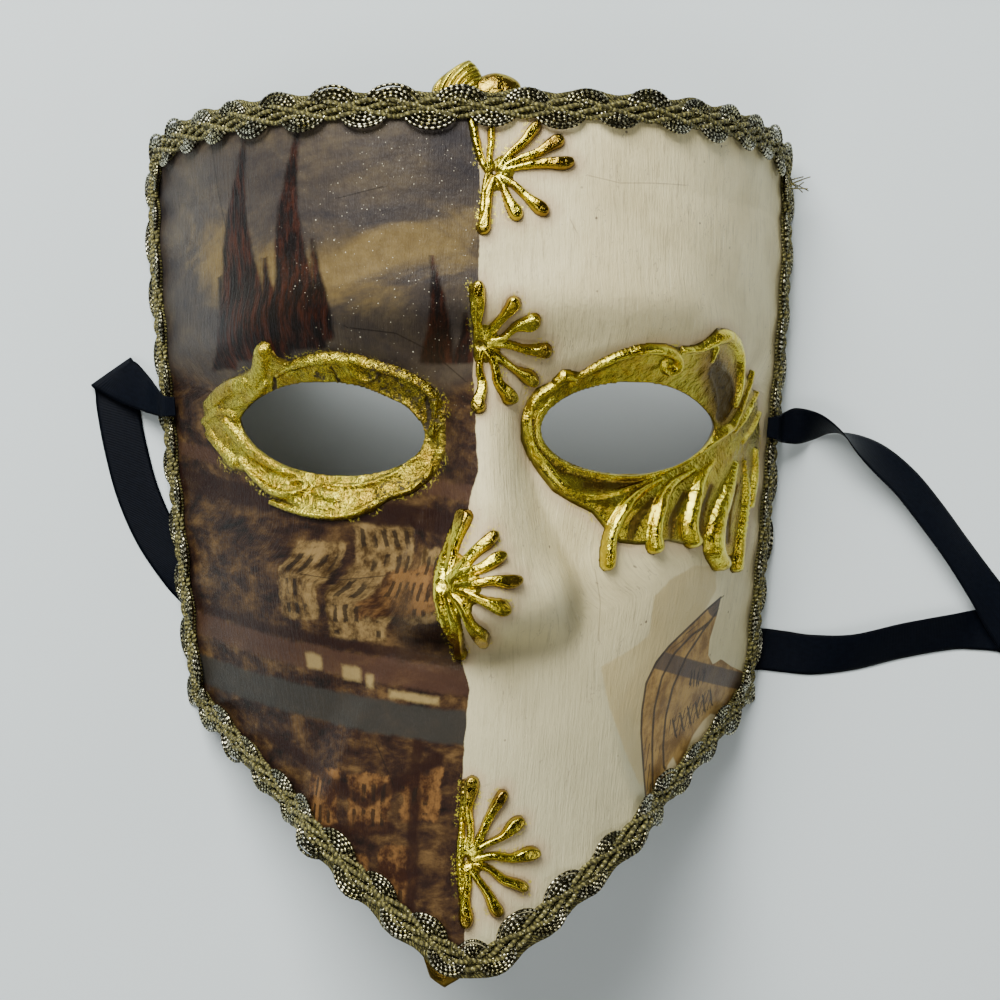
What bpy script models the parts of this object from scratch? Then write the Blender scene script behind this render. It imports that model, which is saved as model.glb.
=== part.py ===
"""Bauta mask of painted papier mache, lying on its back with its face up and its two ribbons beside it.

Metres, +Z up. The forehead points to +Y, the chin to -Y, and the half with the pasted print lies on -X.
The face is one height over the flat outline, so every applied piece is laid on that height.
"""

import math

import bmesh
import bpy
import numpy as np
from mathutils import Matrix, Vector
from mathutils.bvhtree import BVHTree

MM = 0.001

# Driving dimensions
TOP_HALF_WIDTH = 91.5 * MM
JAW_HALF_WIDTH = 78.5 * MM
TOP_EDGE_Y = 101 * MM
TOP_CORNER_RISE = 0.9 * MM
JAW_CORNER_Y = -58.5 * MM
CHIN_TIP_Y = -118 * MM
CHIN_TIP_RADIUS = 8 * MM
CHIN_SLOPE = 0.84
SIDE_BOW = 1.0 * MM
CHIN_LEAN = -3.6 * MM
NOSE_LEAN = 0.8 * MM
SHELL_THICKNESS = 2.4 * MM
SHELL_COLUMNS = 22
SHELL_ROWS = 25
FLANK_PACKING = 0.12
RIM_SINK = 0.9 * MM
SIDE_RIM_LIFT = 4.0 * MM
CENTRE_Y = 4.45 * MM

EYE_X = 38.6 * MM
EYE_Y = 18.3 * MM
EYE_HALF_WIDTH = 24.4 * MM
EYE_HALF_HEIGHT = 12.3 * MM
EYE_TILT = {-1: math.radians(-6.0), 1: math.radians(1.0)}
EYE_POINT = 0.3
EYE_CUT_LOW = 15 * MM
EYE_CUT_HIGH = 95 * MM

BRAID_WIDTH = 9.2 * MM
BRAID_THICKNESS = 1.6 * MM
BRAID_OVERHANG = 0.6 * MM
BRAID_SCALLOP = 0.9 * MM
BRAID_SCALLOPS = 52
BRAID_STEPS = 3
BRAID_LIFT = 1.5 * MM
BAND_STEP = 15
CORNER_EASE = 8 * MM

SLIT_LENGTH = 7.0 * MM
SLIT_WIDTH = 1.6 * MM
SLIT_PLACE = {-1: (-81.6 * MM, 25.2 * MM), 1: (81.0 * MM, 19.2 * MM)}

RIBBON_THICKNESS = 0.6 * MM
FLOOR_GAP = 0.05 * MM
COIL_OUTER_RADIUS = 27 * MM
COIL_INNER_RADIUS = {-1: 8.5 * MM, 1: 15.5 * MM}
COIL_CENTRE = {-1: (-37 * MM, -30 * MM), 1: (37 * MM, -30 * MM)}
COIL_LOW = 0.1 * MM
COIL_HIGH = 12.3 * MM
COIL_STEPS = 20

GAP = 0.3 * MM
GILT_LIFT = 0.85 * MM
LEAST_GAP = 0.6 * MM

# Heights of the middle of the face along its length, nose and muzzle left out: (y, height)
CROWN = ((-125, 62), (-90, 65), (-60, 67), (-25, 66), (5, 67), (30, 71), (50, 79), (80, 77), (108, 72))
# How square the cross-section is along the length: (y, exponent)
SQUARENESS = ((-125, 2.2), (-60, 2.3), (-20, 2.6), (20, 2.9), (60, 3.0), (108, 3.0))
# Nose: (y, height over the face, half width)
NOSE = ((-42, 0, 22), (-36, 9, 24), (-30, 19, 25), (-22, 22.5, 24.5), (-12, 19.5, 20), (5, 13.5, 13),
        (20, 8, 11), (30, 4.5, 11), (42, 0, 13))
# Muzzle from under the nose to the chin: (y, height of its middle line, half width, drop at its edge)
MUZZLE = ((-125, 78, 60, 26), (-88, 76.5, 47, 22), (-60, 74, 37, 14), (-38, 71, 27, 8), (-20, 68, 24, 6))

# Gilded bands round the eyes: (angle from the outer corner, reach from the eye's centre, height of the roll)
GILT_LEFT = ((0, 34.5, 2.0), (12, 34.9, 2.2), (21, 31.2, 1.8), (33, 27.3, 1.8), (40, 25.2, 1.6),
             (46, 27.5, 2.4), (52, 27.8, 2.4), (56, 22.5, 1.6), (62, 19.4, 1.6), (75, 18.8, 1.8),
             (91, 18.8, 1.8), (109, 19.5, 1.8), (131, 21.1, 1.8), (147, 24.0, 1.9), (160, 27.6, 1.9),
             (172, 29.4, 1.7), (184, 29.3, 1.5), (194, 30.0, 1.4), (206, 28.8, 1.6), (218, 26.6, 1.8),
             (231, 23.6, 1.8), (244, 23.6, 1.9), (257, 23.6, 2.2), (270, 23.5, 2.2), (284, 22.7, 2.0),
             (300, 22.5, 1.9), (316, 24.0, 1.9), (331, 25.3, 1.9), (338, 28.8, 2.2), (344, 30.8, 2.3),
             (350, 30.3, 1.9))
GILT_RIGHT = ((0, 40.6, 1.5), (12, 40.1, 1.7), (28, 36.8, 1.6), (37, 38.1, 1.9), (44, 36.8, 2.2),
              (49, 33.6, 2.4), (52, 27.5, 1.7), (59, 24.0, 1.4), (68, 22.6, 2.0), (76, 21.6, 2.0),
              (90, 20.0, 1.5), (105, 18.6, 1.4), (122, 18.3, 1.3), (136, 20.0, 1.5), (146, 23.6, 1.6),
              (158, 26.9, 1.4), (170, 28.8, 1.4), (183, 29.4, 1.4), (196, 28.4, 1.4), (210, 26.9, 1.3),
              (225, 25.4, 1.3), (240, 24.4, 1.3), (250, 26.5, 1.3), (256, 35.8, 2.2), (260, 36.3, 2.2),
              (264, 29.3, 1.2), (274, 29.8, 1.2), (277.5, 33, 2.2), (282, 33, 2.2), (286, 30.3, 1.2),
              (294, 32.0, 1.4), (297, 35.3, 2.3), (300.5, 35.2, 2.3), (302, 34.6, 1.3), (304, 46.2, 2.4),
              (306.5, 46.4, 2.4), (308, 45.6, 1.3), (309.5, 52.4, 1.9), (311.5, 52.6, 1.9),
              (313, 47.8, 1.2), (321, 46.0, 1.3), (330, 43.4, 1.6), (334, 42.4, 1.9), (342, 41.6, 1.5),
              (351, 41.0, 1.4))
# Half sunbursts: hub, then (angle, length) of each ray
SUNBURSTS = {
    "gilt_sunburst_forehead": ((2.6, 81.0), ((-102, 15.3), (-64, 12.7), (-39, 16.4), (8, 19.8), (27, 18.8),
                                             (48, 11.2), (84, 8.6), (113, 8.8))),
    "gilt_sunburst_brow": ((-0.7, 38.8), ((-93, 16.5), (-63, 16.0), (-34, 16.5), (-5, 17.1), (24, 14.9),
                                          (52, 13.2), (95, 14.6))),
    "gilt_sunburst_nose": ((-10.2, -20.5), ((-77, 19.6), (-54, 17.8), (-20, 16.4), (4, 18.2), (28, 16.2),
                                            (46, 17.9), (73, 19.0))),
    "gilt_sunburst_chin": ((-5.1, -88.9), ((-90, 15.0), (-59, 14.0), (-27, 15.8), (3, 18.4), (34, 17.0),
                                           (60, 19.6), (85, 20.4))),
}
# Along each ray: (share of its length, half width, height)
RAY_STATIONS = ((0.06, 0.9, 1.3), (0.45, 1.05, 1.7), (0.86, 1.75, 2.1), (1.0, 1.1, 0.8))
HUB_RADIUS = 2.8 * MM
HUB_RISE = 0.8 * MM

# Lobes of the crest: (middle, half sizes, turn)
CREST_LOBES = (((-6.2, 101.8, 67.0), (6.3, 9.0, 3.6), -12), ((3.8, 100.4, 66.8), (5.4, 6.6, 3.4), 0))

# Ribbons from their slits over the braid:
# (x, y, lift over the face, angle of the width in plan, tilt, half width)
RIBBON_AT_SLIT = {
    -1: ((-81.6, 25.2, 1.2, 94, 0, 2.6), (-82.6, 25.7, 3.6, 94, 0, 3.0), (-84.6, 26.8, 3.7, 92, 0, 3.8)),
    1: ((81.0, 19.2, 1.2, 85, 0, 2.8), (82.0, 19.3, 3.6, 85, 0, 3.4), (84.0, 19.4, 3.7, 86, 0, 4.2)),
}
# The rest of the way: (x, y, height, angle of the width in plan, tilt, half width)
RIBBON_ROUTE = {
    -1: ((-91.6, 28.9, 5.0, 82, -3, 5.0),
         (-96.6, 32.0, 3.0, 66, 0, 6.0), (-99.6, 33.6, 2.3, 50, 0, 6.2),
         (-101.3, 34.6, 2.1, 35, 0, 6.7), (-101.9, 35.4, 1.25, 35, 0, 6.7), (-101.2, 34.4, 0.42, 35, 0, 6.7),
         (-100.6, 31.0, 0.4, 22, 0, 6.2), (-100.2, 26.0, 0.4, 10, 0, 6.0), (-98.3, 15.0, 0.4, 12, 0, 6.0),
         (-95.0, 2.0, 0.4, 17, 0, 6.0), (-90.2, -9.5, 0.4, 26, 0, 6.0), (-84.5, -18.5, 0.4, 33, 0, 6.0),
         (-79.2, -25.2, 0.5, 38, 6, 6.0), (-73.4, -30.6, 3.4, 42, 30, 6.0), (-68.2, -34.6, 5.8, 42, 66, 6.0),
         (-64.4, -38.6, 6.35, 30, 90, 6.0), (-61.6, -42.8, 6.35, 30, 90, 6.0)),
    1: ((92.0, 19.6, 6.2, 93, 12, 5.2), (97.8, 19.3, 5.7, 90, 55, 6.0), (103.2, 17.9, 6.35, 75, 88, 6.0),
        (109.3, 14.6, 5.7, 60, 118, 6.0), (116.0, 10.2, 4.5, 50, 138, 6.0), (123.8, 3.3, 3.9, 42, 145, 6.0),
        (131.1, -5.6, 3.7, 38, 147, 6.0), (138.6, -15.8, 3.7, 35, 147, 6.0),
        (146.4, -26.8, 3.0, 35, 155, 6.0), (151.6, -34.2, 2.2, 38, 170, 6.1),
        (154.4, -38.0, 1.9, 52, 178, 6.4), (155.8, -39.9, 1.8, 64, 180, 6.86),
        (156.5, -40.3, 1.1, 64, 180, 6.86), (155.6, -39.9, 0.42, 64, 180, 6.86),
        (151.5, -39.4, 0.4, 84, 180, 6.2), (145.5, -39.2, 1.4, 93, 190, 6.0),
        (137.8, -39.6, 3.1, 95, 207, 6.0), (123.3, -42.0, 3.3, 99, 209, 6.0),
        (109.1, -45.2, 3.1, 100, 207, 6.0), (97.5, -46.0, 1.6, 95, 192, 6.0),
        (89.5, -45.2, 0.45, 88, 181, 6.0), (81.5, -44.4, 0.45, 86, 180, 6.0),
        (73.0, -45.8, 1.0, 80, 186, 6.0), (64.5, -49.3, 4.5, 72, 224, 6.0),
        (55.5, -53.8, 6.2, 68, 257, 6.0), (47.5, -56.6, 6.35, 68, 270, 6.0),
        (42.0, -57.6, 6.35, 68, 270, 6.0)),
}


def curve_through(y, stations, column):
    """Value at y of a smooth curve through stations, with the slopes of their neighbours (cubic Hermite)."""
    keys = np.array([s[0] for s in stations], float) * MM
    values = np.array([s[column] for s in stations], float)
    slopes = np.gradient(values, keys)
    y = np.clip(y, keys[0], keys[-1])
    i = np.clip(np.searchsorted(keys, y) - 1, 0, len(keys) - 2)
    span = keys[i + 1] - keys[i]
    t = (y - keys[i]) / span
    rise = values[i] * (1 + 2 * t) * (1 - t) ** 2 + values[i + 1] * t * t * (3 - 2 * t)
    return rise + span * (slopes[i] * t * (1 - t) ** 2 + slopes[i + 1] * t * t * (t - 1))


def step(t):
    """0 below 0, 1 above 1, and a smooth rise between."""
    t = np.clip(t, 0.0, 1.0)
    return t * t * (3 - 2 * t)


def half_width(y):
    """Half the mask's width at floor level: wider at the temples, with a slight outward bow."""
    v = (y - JAW_CORNER_Y) / (TOP_EDGE_Y + TOP_CORNER_RISE - JAW_CORNER_Y)
    bow = SIDE_BOW * np.sin(np.pi * np.clip(v, 0.0, 1.0))
    return JAW_HALF_WIDTH + (TOP_HALF_WIDTH - JAW_HALF_WIDTH) * np.clip(v, -0.4, 1.1) + bow


def lean(y):
    """Sideways shift of the hand-made face's middle line: the nose a little to +X, the chin more to -X."""
    towards_chin = step((-35 * MM - y) / (75 * MM))
    return NOSE_LEAN * step((10 * MM - y) / (35 * MM)) + (CHIN_LEAN - NOSE_LEAN) * towards_chin


def face_height(x, y):
    """Height of the outer face: an arch across, then brow, eye sockets, nose, muzzle and cheeks on it."""
    x, y = np.broadcast_arrays(np.asarray(x, float), np.asarray(y, float))
    across = np.abs(x - lean(y) * np.clip(1 - (x / half_width(y)) ** 2, 0, 1))
    crown = curve_through(y, CROWN, 1) * MM
    power = curve_through(y, SQUARENESS, 1)
    lift = SIDE_RIM_LIFT * np.clip(1 - ((y - 10 * MM) / (68 * MM)) ** 12, 0, 1) - RIM_SINK
    arch = 1 - (across / half_width(y)) ** power
    z = lift + (crown - lift) * arch

    brow_line = 49 * MM - 9 * MM * step((across - 48 * MM) / (26 * MM))
    brow = np.exp(-(((y - brow_line) / (8 * MM)) ** 2)) * (1 - step((across - 58 * MM) / (20 * MM)))
    z = z + 2.6 * MM * brow

    socket_x, socket_y = 33 * MM, 21 * MM
    inside = ((across - EYE_X) / socket_x) ** 2 + ((y - EYE_Y) / socket_y) ** 2
    z = z - 8.5 * MM * np.clip(1 - inside, 0, 1) ** 1.4

    cheek = ((across - 47 * MM) / (22 * MM)) ** 2 + ((y + 22 * MM) / (24 * MM)) ** 2
    z = z + 3.2 * MM * np.exp(-cheek * 1.6)

    ridge = curve_through(y, NOSE, 1) * MM
    nose_half = curve_through(y, NOSE, 2) * MM
    profile = np.clip(1 - (across / nose_half) ** 2, 0, 1) ** 1.45
    wings = np.exp(-(((across - 17.5 * MM) / (6.5 * MM)) ** 2) - ((y + 25 * MM) / (8.5 * MM)) ** 2)
    z = z + ridge * profile + 4.2 * MM * wings

    middle = curve_through(y, MUZZLE, 1) * MM
    edge = curve_through(y, MUZZLE, 2) * MM
    drop = curve_through(y, MUZZLE, 3) * MM
    muzzle = middle - drop * np.minimum(across / edge, 1.2) ** 1.7
    share = step((edge - across) / (9 * MM) + 0.5) * step((-32 * MM - y) / (11 * MM))
    return z + share * np.clip(muzzle - z, -6 * MM, None)


def face_normal(x, y):
    """Outward unit normals, from the slopes over half a millimetre each way."""
    h = 0.5 * MM
    slope_x = (face_height(x + h, y) - face_height(x - h, y)) / (2 * h)
    slope_y = (face_height(x, y + h) - face_height(x, y - h)) / (2 * h)
    normal = np.stack([-slope_x, -slope_y, np.ones_like(slope_x)], axis=-1)
    return normal / np.linalg.norm(normal, axis=-1, keepdims=True)


def on_face(x, y, lift=0.0):
    """Points lift metres above the face at the plan points x, y."""
    x, y = np.broadcast_arrays(np.asarray(x, float), np.asarray(y, float))
    return np.stack([x, y, face_height(x, y)], axis=-1) + face_normal(x, y) * np.asarray(lift)[..., None]


def plan_point(u, v):
    """Flat outline as a grid: u is -1 to 1 from rim to rim, v is 0 to 1 from chin edge to forehead edge."""
    low_x = u * JAW_HALF_WIDTH
    low_y = CHIN_TIP_Y + CHIN_SLOPE * (np.sqrt(low_x**2 + CHIN_TIP_RADIUS**2) - CHIN_TIP_RADIUS)
    top_x = u * TOP_HALF_WIDTH
    top_y = TOP_EDGE_Y + TOP_CORNER_RISE * np.minimum(np.abs(top_x) / (65 * MM), 1.0) ** 2
    cut = 4 * MM * np.abs(u) ** 10 * v**16
    y = low_y + (top_y - low_y) * v - cut
    x = low_x + (top_x - low_x) * v + SIDE_BOW * np.sin(np.pi * v) * np.sign(u) * np.abs(u) ** 3
    return x - np.sign(u) * cut + lean(y) * (1 - u**2), y


# Materials


def material(name, colour, roughness, metallic=0.0):
    made = bpy.data.materials.new(name)
    made.use_nodes = True
    shader = made.node_tree.nodes["Principled BSDF"]
    shader.inputs["Base Color"].default_value = (*colour, 1.0)
    shader.inputs["Roughness"].default_value = roughness
    shader.inputs["Metallic"].default_value = metallic
    return made


# Making and cutting pieces


def add_object(name, mesh, look, folder):
    piece = bpy.data.objects.new(name, mesh)
    piece.data.materials.clear()
    piece.data.materials.append(look)
    folder.objects.link(piece)
    return piece


def move_to(folder, piece):
    for holder in piece.users_collection:
        holder.objects.unlink(piece)
    folder.objects.link(piece)


def hide_cutter(cutter, name, cutters):
    cutter.name = name
    move_to(cutters, cutter)
    cutter.hide_render = True
    cutter.display_type = "WIRE"
    return cutter


def cut_by(piece, cutter, operation="DIFFERENCE"):
    cut = piece.modifiers.new(f"with_{cutter.name}", "BOOLEAN")
    cut.operation = operation
    cut.object = cutter


def loft_mesh(name, tubes, closed=False):
    """Closed skins over rings of points, one for each tube: sides from ring to ring, and caps at open ends."""
    cell = bmesh.new()
    for rings in tubes:
        verts = [[cell.verts.new(point) for point in ring] for ring in rings]
        for here, ahead in zip(verts, verts[1:] + verts[:1] if closed else verts[1:]):
            for j, point in enumerate(here):
                cell.faces.new((here[j - 1], ahead[j - 1], ahead[j], point))
        if not closed:
            cell.faces.new(verts[0])
            cell.faces.new(verts[-1])
    bmesh.ops.triangulate(cell, faces=cell.faces)
    bmesh.ops.recalc_face_normals(cell, faces=cell.faces)
    mesh = bpy.data.meshes.new(name)
    cell.to_mesh(mesh)
    cell.free()
    return mesh


def through_points(points, between):
    """A smooth curve through the rows of points (Catmull-Rom), with so many steps from each to the next."""
    points = np.asarray(points, float)
    ends = np.concatenate([2 * points[:1] - points[1:2], points, 2 * points[-1:] - points[-2:-1]])
    t = np.arange(between).reshape((-1,) + (1,) * (points.ndim - 1)) / between
    runs = []
    for i in range(len(points) - 1):
        a, b, c, d = ends[i:i + 4]
        runs.append(0.5 * (2 * b + (c - a) * t + (2 * a - 5 * b + 4 * c - d) * t**2
                           + (3 * b - a - 3 * c + d) * t**3))
    return np.concatenate(runs + [points[-1:]])


# The shell


def eye_outline(side, count, grow=0.0):
    """Almond eye hole in plan, from its outer corner round: rounded inside, pointed outside, tilted."""
    angle = np.linspace(0, 2 * np.pi, count, endpoint=False)
    along = np.cos(angle)
    point = 1.0 + EYE_POINT * step((along + 0.2) / 1.2)
    x = (EYE_HALF_WIDTH + grow) * along
    y = (EYE_HALF_HEIGHT + grow) * np.sign(np.sin(angle)) * np.abs(np.sin(angle)) ** point
    tilt = EYE_TILT[side] * side
    turned_x = x * math.cos(tilt) - y * math.sin(tilt)
    return side * (EYE_X + turned_x), EYE_Y + x * math.sin(tilt) + y * math.cos(tilt)


def box_cutter(name, size, place, cutters):
    bpy.ops.mesh.primitive_cube_add(size=1)
    cutter = bpy.context.object
    cutter.data.transform(Matrix.Diagonal((*size, 1)))
    cutter.matrix_world = place
    return hide_cutter(cutter, name, cutters)


def eye_cutter(side, cutters):
    """Upright prism of the almond outline."""
    x, y = eye_outline(side, 28)
    ends = [np.stack([x, y, np.full_like(x, height)], axis=1) for height in (EYE_CUT_LOW, EYE_CUT_HIGH)]
    piece = bpy.data.objects.new("prism", loft_mesh("prism", [ends]))
    cutters.objects.link(piece)
    return hide_cutter(piece, f"eye_hole_{'left' if side < 0 else 'right'}", cutters)


def slit_cutter(side, cutters):
    """Thin box through the side wall, its length along the rim."""
    x, y = SLIT_PLACE[side]
    normal = Vector(face_normal(np.array([x]), np.array([y]))[0])
    centre = Vector(on_face(np.array([x]), np.array([y]))[0])
    length = Vector((0, 1, 0)).cross(normal).cross(normal).normalized()
    width = normal.cross(length)
    place = Matrix((length, width, normal)).transposed().to_4x4()
    place.translation = centre
    size = (SLIT_LENGTH, SLIT_WIDTH, 12 * MM)
    return box_cutter(f"slit_{'left' if side < 0 else 'right'}", size, place, cutters)


def make_shell(look, folder, cutters):
    """A flat grid bent to the face, thickened inwards, trimmed flat underneath, pierced at eyes, temples."""
    bpy.ops.mesh.primitive_grid_add(x_subdivisions=SHELL_COLUMNS, y_subdivisions=SHELL_ROWS, size=2)
    shell = bpy.context.object
    shell.name = "mask_shell"
    move_to(folder, shell)
    shell.data.materials.append(look)
    flat = np.empty(len(shell.data.vertices) * 3, np.float32)
    shell.data.vertices.foreach_get("co", flat)
    flat = flat.reshape(-1, 3).astype(float)
    u = flat[:, 0] * (1 - FLANK_PACKING + FLANK_PACKING * flat[:, 0] ** 2)
    x, y = plan_point(u, (flat[:, 1] + 1) / 2)
    shell.data.vertices.foreach_set("co", np.stack([x, y, face_height(x, y)], axis=1).ravel())
    shell.data.update()

    wall = shell.modifiers.new("wall", "SOLIDIFY")
    wall.thickness = SHELL_THICKNESS
    wall.offset = -1
    wall.use_even_offset = True

    cut_by(shell, box_cutter("floor_trim", (0.3, 0.3, 0.02), Matrix.Translation((0, 0, -0.01)), cutters))
    for side in (-1, 1):
        cut_by(shell, eye_cutter(side, cutters))
        cut_by(shell, slit_cutter(side, cutters))
    return shell


def facets_of(piece):
    """The finished piece's own facets, to lay other pieces on."""
    bpy.context.view_layer.update()
    return BVHTree.FromObject(piece, bpy.context.evaluated_depsgraph_get())


def laid_on(facets, x, y, lift):
    """Points lift above the face, and never closer to the shell's facets than the least gap."""
    points = on_face(x, y, lift)
    upright = face_normal(x, y)[..., 2]
    flat = points.reshape(-1, 3)
    for point, steep in zip(flat, upright.ravel()):
        found = facets.ray_cast(Vector((point[0], point[1], 0.2)), Vector((0, 0, -1)))[0]
        if found is not None and found.z > 1 * MM:
            point[2] = max(point[2], found.z + LEAST_GAP / steep)
    return flat.reshape(points.shape)


# Applied pieces


def rim_loop(count):
    """Plan points evenly round the edge, from the chin by the right side, and the way inwards on the face."""
    run = np.linspace(0, 1, 400, endpoint=False)
    u = np.concatenate([run, np.ones(400), 1 - 2 * run, -np.ones(400), run - 1])
    v = np.concatenate([np.zeros(400), run, np.ones(400), 1 - run, np.zeros(400)])
    x, y = plan_point(u, v)
    edge = np.stack([x, y, face_height(x, y)], axis=1)
    edge = np.concatenate([edge, edge[:1]])
    length = np.concatenate([[0], np.cumsum(np.linalg.norm(np.diff(edge, axis=0), axis=1))])
    at = np.linspace(0, length[-1], count, endpoint=False)
    edge = np.stack([np.interp(at, length, edge[:, k]) for k in range(3)], axis=1)
    ahead = np.roll(edge, -1, axis=0) - np.roll(edge, 1, axis=0)
    inward = np.cross(face_normal(edge[:, 0], edge[:, 1]), ahead)
    inward /= np.linalg.norm(inward, axis=1, keepdims=True)
    reach = int(3 * CORNER_EASE / (length[-1] / count)) + 1
    weights = np.exp(-((np.arange(-reach, reach + 1) * length[-1] / count / CORNER_EASE) ** 2))
    eased = sum(w * np.roll(inward, k - reach, axis=0) for k, w in enumerate(weights))
    return edge, eased / np.linalg.norm(eased, axis=1, keepdims=True)


def make_braid(look, folder, facets):
    """Flat scalloped band laid on the face all round its edge, kept clear of what the mask lies on."""
    count = BRAID_SCALLOPS * BRAID_STEPS
    edge, inward = rim_loop(count)
    wave = BRAID_SCALLOP * np.cos(2 * np.pi * np.arange(count) / BRAID_STEPS)
    outer, middle, inner = -BRAID_OVERHANG - wave, np.full(count, BRAID_WIDTH / 2), BRAID_WIDTH - wave
    rows = ((outer, 0.0), (outer, 0.7), (middle, 1.0), (inner, 0.7), (inner, 0.0), (middle, 0.0))
    rings = []
    for across, share in rows:
        plan = edge[:, :2] + inward[:, :2] * across[:, None]
        lift = np.full(count, BRAID_LIFT + share * BRAID_THICKNESS)
        row = laid_on(facets, plan[:, 0], plan[:, 1], lift)
        row[:, 2] = np.maximum(row[:, 2], GAP + share * 0.4 * MM)
        rings.append(row)
    band = loft_mesh("edge_braid", [np.stack(rings, axis=1)], closed=True)
    return add_object("edge_braid", band, look, folder)


def make_eye_band(name, side, stations, look, folder, facets):
    """Gilded band round an eye hole: from the hole's edge over a raised roll to the given outline."""
    given = np.array(stations)
    turn = np.union1d(given[:, 0], np.arange(0, 360, BAND_STEP))
    reach, roll = (np.interp(turn, given[:, 0], given[:, k], period=360) * MM for k in (1, 2))
    angle = np.radians(turn)
    x, y = eye_outline(side, 360, grow=0.35 * MM)
    x, y = side * (x - side * EYE_X), y - EYE_Y
    around = np.unwrap(np.arctan2(y, x))
    hole = np.interp(angle, around, np.hypot(x, y), period=2 * np.pi)
    over = ((0.0, 0.55), (0.36, 0.7), (0.74, 1.0), (1.0, 0.45))
    under = ((1.0, 0.0), (0.67, 0.0), (0.33, 0.0), (0.0, 0.0))
    rings = []
    for share, height in over + under:
        radius = hole + (reach - hole) * share
        lift = GILT_LIFT + height * roll
        x, y = side * (EYE_X + radius * np.cos(angle)), EYE_Y + radius * np.sin(angle)
        rings.append(laid_on(facets, x, y, lift))
    return add_object(name, loft_mesh(name, [np.stack(rings, axis=1)], closed=True), look, folder)


def make_sunburst(name, hub, rays, look, folder, cutters, facets):
    """Half sunburst: a flattened hub, joined with half-round rays that swell towards their tips."""
    share, half, height = (np.array(row) for row in zip(*RAY_STATIONS))
    tubes = []
    for turn, length in rays:
        along = np.array((math.cos(math.radians(turn)), math.sin(math.radians(turn))))
        rows = []
        for sideways, rise in ((-1, 0), (-0.55, 0.9), (0.55, 0.9), (1, 0)):
            aside = np.outer(sideways * half, (-along[1], along[0]))
            plan = np.array(hub) + np.outer(share * length, along) + aside
            rows.append(laid_on(facets, *(plan.T * MM), GILT_LIFT + rise * height * MM))
        tubes.append(np.stack(rows, axis=1))
    fan = bpy.data.objects.new("rays", loft_mesh("rays", tubes))
    cutters.objects.link(fan)

    bpy.ops.mesh.primitive_uv_sphere_add(segments=8, ring_count=4, radius=1)
    burst = bpy.context.object
    burst.name = name
    move_to(folder, burst)
    burst.data.materials.append(look)
    burst.data.transform(Matrix.Diagonal((HUB_RADIUS, HUB_RADIUS, HUB_RISE, 1)))
    plan = np.array(hub) * MM
    normal = Vector(face_normal(*plan))
    burst.rotation_euler = normal.to_track_quat("Z", "Y").to_euler()
    burst.location = on_face(*plan, GILT_LIFT + HUB_RISE)
    cut_by(burst, hide_cutter(fan, f"{name}_rays", cutters), "UNION")
    burst.modifiers[-1].use_self = True


def make_crest(look, folder, cutters):
    """Two joined lobes of gilded paste behind the top edge, standing past it."""
    lobes = []
    for place, size, turn in CREST_LOBES:
        bpy.ops.mesh.primitive_uv_sphere_add(segments=12, ring_count=6, radius=1)
        lobe = bpy.context.object
        lobe.data.transform(Matrix.Diagonal((*(Vector(size) * MM), 1)))
        lobe.rotation_euler.z = math.radians(turn)
        lobe.location = Vector(place) * MM
        lobes.append(lobe)
    crest, other = lobes
    crest.name = "gilt_crest"
    move_to(folder, crest)
    crest.data.materials.append(look)
    cut_by(crest, hide_cutter(other, "crest_right_lobe", cutters), "UNION")
    return crest


def ribbon_edges(side, between):
    """Both edges of a ribbon along its route: each station gives its middle and which way its width points."""
    edges = []
    stations = [(on_face(*np.array(((x,), (y,), (lift,))) * MM)[0], turn, tilt, half)
                for x, y, lift, turn, tilt, half in RIBBON_AT_SLIT[side]]
    stations += [(np.array((x, y, z)) * MM, turn, tilt, half)
                 for x, y, z, turn, tilt, half in RIBBON_ROUTE[side]]
    for middle, turn, tilt, half in stations:
        turn, tilt = math.radians(turn), math.radians(tilt)
        way = np.array((math.cos(turn) * math.cos(tilt), math.sin(turn) * math.cos(tilt), math.sin(tilt)))
        edges.append((middle + way * half * MM, middle - way * half * MM))
    return through_points(edges, between)


def make_ribbon(name, side, look, folder):
    """Flat strip along the route, as thick as several layers of satin."""
    edges = ribbon_edges(side, 2)
    edges[..., 2] = np.maximum(edges[..., 2], RIBBON_THICKNESS / 2 + FLOOR_GAP)
    along = np.gradient(edges.mean(axis=1), axis=0)
    across = edges[:, 0] - edges[:, 1]
    face = np.cross(across, along)
    face *= RIBBON_THICKNESS / 2 / np.linalg.norm(face, axis=1, keepdims=True)
    rings = np.stack([edges[:, 0] + face, edges[:, 1] + face, edges[:, 1] - face, edges[:, 0] - face], axis=1)
    return add_object(name, loft_mesh(name, [rings]), look, folder)


def make_coil(name, side, look, folder):
    """Plain ring of the outer shape of the ribbon's coil, turned from its section."""
    inner, outer = COIL_INNER_RADIUS[side], COIL_OUTER_RADIUS
    mesh = bpy.data.meshes.new(name)
    corners = [(outer, 0, COIL_HIGH), (outer, 0, COIL_LOW), (inner, 0, COIL_LOW), (inner, 0, COIL_HIGH)]
    mesh.from_pydata(corners, [(0, 1), (1, 2), (2, 3), (3, 0)], [])
    coil = add_object(name, mesh, look, folder)
    coil.location = (*COIL_CENTRE[side], 0)
    turned = coil.modifiers.new("turned", "SCREW")
    turned.steps = turned.render_steps = COIL_STEPS
    turned.use_merge_vertices = True
    turned.merge_threshold = 0.00001
    return coil


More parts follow.
